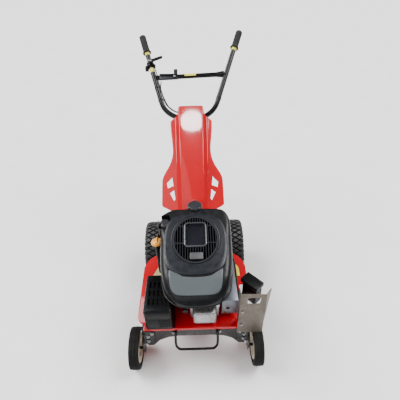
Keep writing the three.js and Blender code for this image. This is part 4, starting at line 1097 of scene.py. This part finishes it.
def make_cables():
    for node, (body, make, radius, points) in CABLES.items():
        cable = pipe(points, radius, 12, 8, make)
        new_piece(f"{node}_sheath", "black_plastic", cable, body=body, node=node)


# ---- smaller parts

HEAD_AT = (CRANK_X + 29, 49, 275)
FRONT_BAR = [
    (-82, 2, 188), (-82, -20, 181), (-79, -44, 172), (-68, -56, 168), (-50, -59, 167),
    (56, -59, 167), (74, -56, 168), (85, -44, 172), (88, -20, 181), (88, 2, 188),
]
FUEL_CAP_PROFILE = [
    (0.1, 0), (32, 0), (33.4, 1), (33.8, 4), (33.2, 9), (31.2, 11), (31.0, 14), (33.2, 16), (34, 18),
    (34, 28), (33.2, 31), (31, 33.4), (28.6, 34.2), (27.6, 33.2), (22, 33.8), (12, 36.1), (5, 36.9),
    (0.1, 37),
]
BULGE = ((0, 10), (1.5, 26), (3, 38), (4, 42), (6.5, 45), (10, 46.4), (11, 46), (12, 44.6), (13.2, 44.2))
CHOKE_WIRE = ((-84, 84, 262), (-84, 62, 262), (-84.5, 46, 240), (-84.5, 20, 229), (-84.5, -4, 227))
LABEL_AT, LABEL_THICK = 225.0, 0.35
LABELS = {
    "deck_label_left": ("cream_label", [(-196, 262), (-150, 262), (-150, 326), (-170, 326)]),
    "deck_label_right": ("yellow_label", [(190, 256), (207, 256), (206, 300), (198, 322), (190, 322)]),
}


def cap_ribs(angle, height):
    return -0.07 * (0.5 + 0.5 * cos(11 * angle)) ** 3 if 15 < height < 34 else 0


def make_front_bar():
    new_piece("front_guard_bar", "black_paint", pipe(FRONT_BAR, 5, 18, 7), node="front_bar")
    feet = [((x, -0.2, 192), FORWARD, 8) for x in (-91, 97)]
    new_piece("front_bar_bolts", "steel", *bolts(feet), slot="galvanised")


def make_fuel_cap():
    knob = lathe(FUEL_CAP_PROFILE, about(FUEL_CAP_AT, UPWARD, engine), 132, cap_ribs)
    new_piece("fuel_cap_knob", "pull", knob, body="fuel_cap", node="fuel_cap")


def make_dipstick():
    """A ribbed knob with a finger web on a rod, in the collar of the filler tube."""
    tube = about(FILLER_FOOT, FILLER_AIM, engine)

    def place(x, y, z):
        return tube(x, y, FILLER_LENGTH + z)

    def ribs(angle, height):
        return 0.022 * cos(12 * angle) if 1 < height < 10 else 0

    knob = [lathe([(0.1, 0.4), (22, 0.4), (25, 2), (25.6, 5), (25.2, 8), (23.4, 12), (19, 15.5), (11, 17.5),
                   (0.1, 18)], place, 48, ribs)]
    loops = []
    for k in range(13):
        y = -21.5 + 43 * k / 12
        rise = sqrt(max(1 - (y / 23.5) ** 2, 0))
        top = 13 + 13 * rise
        wide = 3.4 + 0.8 * (1 - rise)
        half = [(wide + 2, 8), (wide, 12), (wide * 0.8, top - 1.5)]
        loops.append([place(x, y, z) for x, z in [*((-x, z) for x, z in half), (0, top), *half[::-1]]])
    knob += [rings(loops), lathe(rod(2.5, 14 - FILLER_LENGTH, 1), place, 16)]
    new_piece("dipstick_knob", "amber", *knob, body="dipstick", node="dipstick")
    collar = [(10, -0.4), (12.6, -1), (13.6, -4), (13.6, -9), (11.8, -12), (11.3, -20), (10, -20)]
    new_piece("oil_filler_collar", "black_plastic", lathe(collar, place, 36))


def make_pull_grip():
    """A long rounded grip lying in its pocket, with its rope; its top rises to the rear."""
    outline = rounded(-152, -111, 316, 368, 16, 7)
    loops = levels(engine, outline, ((3, 449.2), (0.8, 451), (0, 454.5)))
    for share, drop in quarter(7, 1):
        crown = inset(outline, 14 * share)
        loops.append([engine(x, y, 486 - 12 * drop + 0.08 * (y - 316)) for x, y in crown])
    rope = lathe(rod(2.5, -111, -11), about(PULL_FROM, PULL_AIM, engine), 14)
    new_piece("pull_grip", "pull", rings(loops), rope, body="recoil_handle", node="recoil_handle")


def make_rocker_cover():
    """Cast cover: a flange against the head and a deep rounded bulge in front."""
    x0, y0, z0 = HEAD_AT

    def place(x, y, z):
        return at(x0 + x, y0 - z, z0 + y)

    cover = [slab(place, rounded(-58, 58, -36, 52, 9), 0.3, 11, 3),
             rings(levels(place, rounded(-49, 49, -37, 36, 17, 7), BULGE))]
    for x in (-52, 52):
        ear = about((x0 + x, y0, z0 + 42), FORWARD)
        cover.append(lathe([(9.5, 5), (9, 16), (7.5, 18), (0.1, 18)], ear, 24))
    new_piece("rocker_cover_casting", "aluminium", *cover, node="rocker_cover")


def make_bolts():
    front = []
    for side in (-1, 1):
        outward = (side, 0, 0)
        front += [((side * x, -2.6, z), FORWARD, 9) for x, z in ((178, 192), (196, 172), (196, 140))]
        front += [((side * 219.2, y, z), outward, 9) for y, z in ((12, 186), (34, 170))]
        front.append(((side * (FRONT_OUT - 6), 0, FRONT_R), outward, 10))
    new_piece("front_bolts", "steel", *bolts(front))
    cover = [((CRANK_X + 27 + x, 37.8, z), FORWARD, 8) for x in (-47, 47) for z in (247, 321)]
    new_piece("rocker_cover_bolts", "steel", *bolts(cover))
    guard = [((181, -8.3, z), FORWARD, 7) for z in (246, 330)]
    new_piece("guard_plate_bolts", "steel", *bolts(guard), slot="galvanised")
    stub = [(0.1, 0), (5, 0), (5, 6), (3.5, 7), (3.5, 14), (0.1, 14)]
    new_piece("brass_fitting", "bronze", lathe(stub, about((181, 176, 298), UPWARD), 6),
              lathe(rod(4, 0, 3), about((120, 41.8, 258), FORWARD), 20))


def make_engine_details():
    low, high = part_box("air_filter_base")
    # Near-black patches on the filter base for its vent slots: painted shade in the openings.
    vents = []
    for row in range(3):
        for column in range(5):
            x = high[0] - 0.012 - 0.009 * column
            z = low[2] + 0.022 + 0.016 * row
            vents.append(rings([[Vector((x + a, low[1] + b, z + c)) for a, c in
                                 ((-0.002, -0.005), (0.002, -0.005), (0.002, 0.005), (-0.002, 0.005))]
                                for b in (-0.0006, 0.002)]))
    new_piece("filter_base_vents", "shade_black", *vents)
    new_piece("battery_leads", "black_plastic", *(pipe((
        (200, 140 - shift, 214), (206, 118, 196 + shift), (214, 84, 236), (222, 60, 262 + shift),
        (236, 48, 256), (244, 52, 222), (226, 60, 190), (196, 56, 186),
    ), 5.5, 12) for shift in (0, 9)))
    new_piece("choke_wire", "black_plastic", pipe(CHOKE_WIRE, 1.8, 8))


def make_labels():
    for name, (finish, outline) in LABELS.items():
        new_piece(name, finish, slab(at, outline, LABEL_AT, LABEL_AT + LABEL_THICK))


# ---- CAD nodes that stay

KEPT = {                                           # by finish, each node with the width of its bevel
    "red": {"deck_shell": 1.6},
    "black_paint": {"front_beam": 0.8, "wheel_bracket_left": 0.8, "wheel_bracket_right": 0.8,
                    "muffler": 1.5, "battery_bracket": 0.8, "handlebar_column": 1.6},
    "aluminium": {"gearbox_housing": 1.5, "crankcase": 1.5, "cylinder_head": 0.8, "carburettor": 1.0},
    "steel": {"axle_shaft": 0.5, "worm_shaft": 0.3, "input_pulley": 0.4, "idler_arm": 0.4,
              "crank_pulley": 0.4, "blade": 0.4},
    "bronze": {"worm_wheel": 0.3},
    "tyre": {"drive_belt": 0.0},
    "black_plastic": {"idler_pulley": 0.3, "spark_plug_cap": 1.0, "fuel_tank": 2.0, "oil_filler_tube": 0.5,
                      "battery_lid": 1.2, "battery_case": 1.2, "throttle_lever": 1.0},
    # The crankshaft and flywheel, seen only through the slats, take the near-black painted-shade finish.
    "shade_black": {"crankshaft": 0.4, "flywheel": 0.8},
    "filter": {"air_filter_base": 1.2, "air_filter_cover": 1.2},
    "foam": {"air_filter_element": 1.5},
    "silver": {"muffler_guard": 1.0},
    "galvanised": {"exhaust_guard": 0.7},
    "slat": {"drive_lever": 1.0},
}


def finish_node(name, finish, width):
    node = NODES[name]
    node.data.materials.clear()
    node.data.materials.append(MATERIALS[finish])
    node.modifiers.new("weld", "WELD").merge_threshold = 1e-5
    if width:
        bevel = node.modifiers.new("edges", "BEVEL")
        bevel.width = width * MM
        bevel.segments = 2
        bevel.limit_method = "ANGLE"
        bevel.angle_limit = radians(32)
        bevel.harden_normals = False
    shade(node.data, 32)


# ---- the whole model

make_camera()
MATERIALS = {key: surface(*row[1:-1], **row[-1]) for key, row in FINISHES.items()}
make_studio()
make_shroud()
make_screen()
make_hood()
for WHEEL_SIDE, WHEEL_SIGN in (("left", -1), ("right", 1)):
    make_front_wheel(WHEEL_SIDE, WHEEL_SIGN)
    make_rear_wheel(WHEEL_SIDE, WHEEL_SIGN)
make_handlebar()
make_controls()
make_cables()
make_front_bar()
make_fuel_cap()
make_dipstick()
make_pull_grip()
make_rocker_cover()
make_bolts()
make_engine_details()
make_labels()
for KEPT_FINISH, KEPT_NODES in KEPT.items():
    for KEPT_NODE, KEPT_WIDTH in KEPT_NODES.items():
        finish_node(KEPT_NODE, KEPT_FINISH, KEPT_WIDTH)
make_hood_sheen()
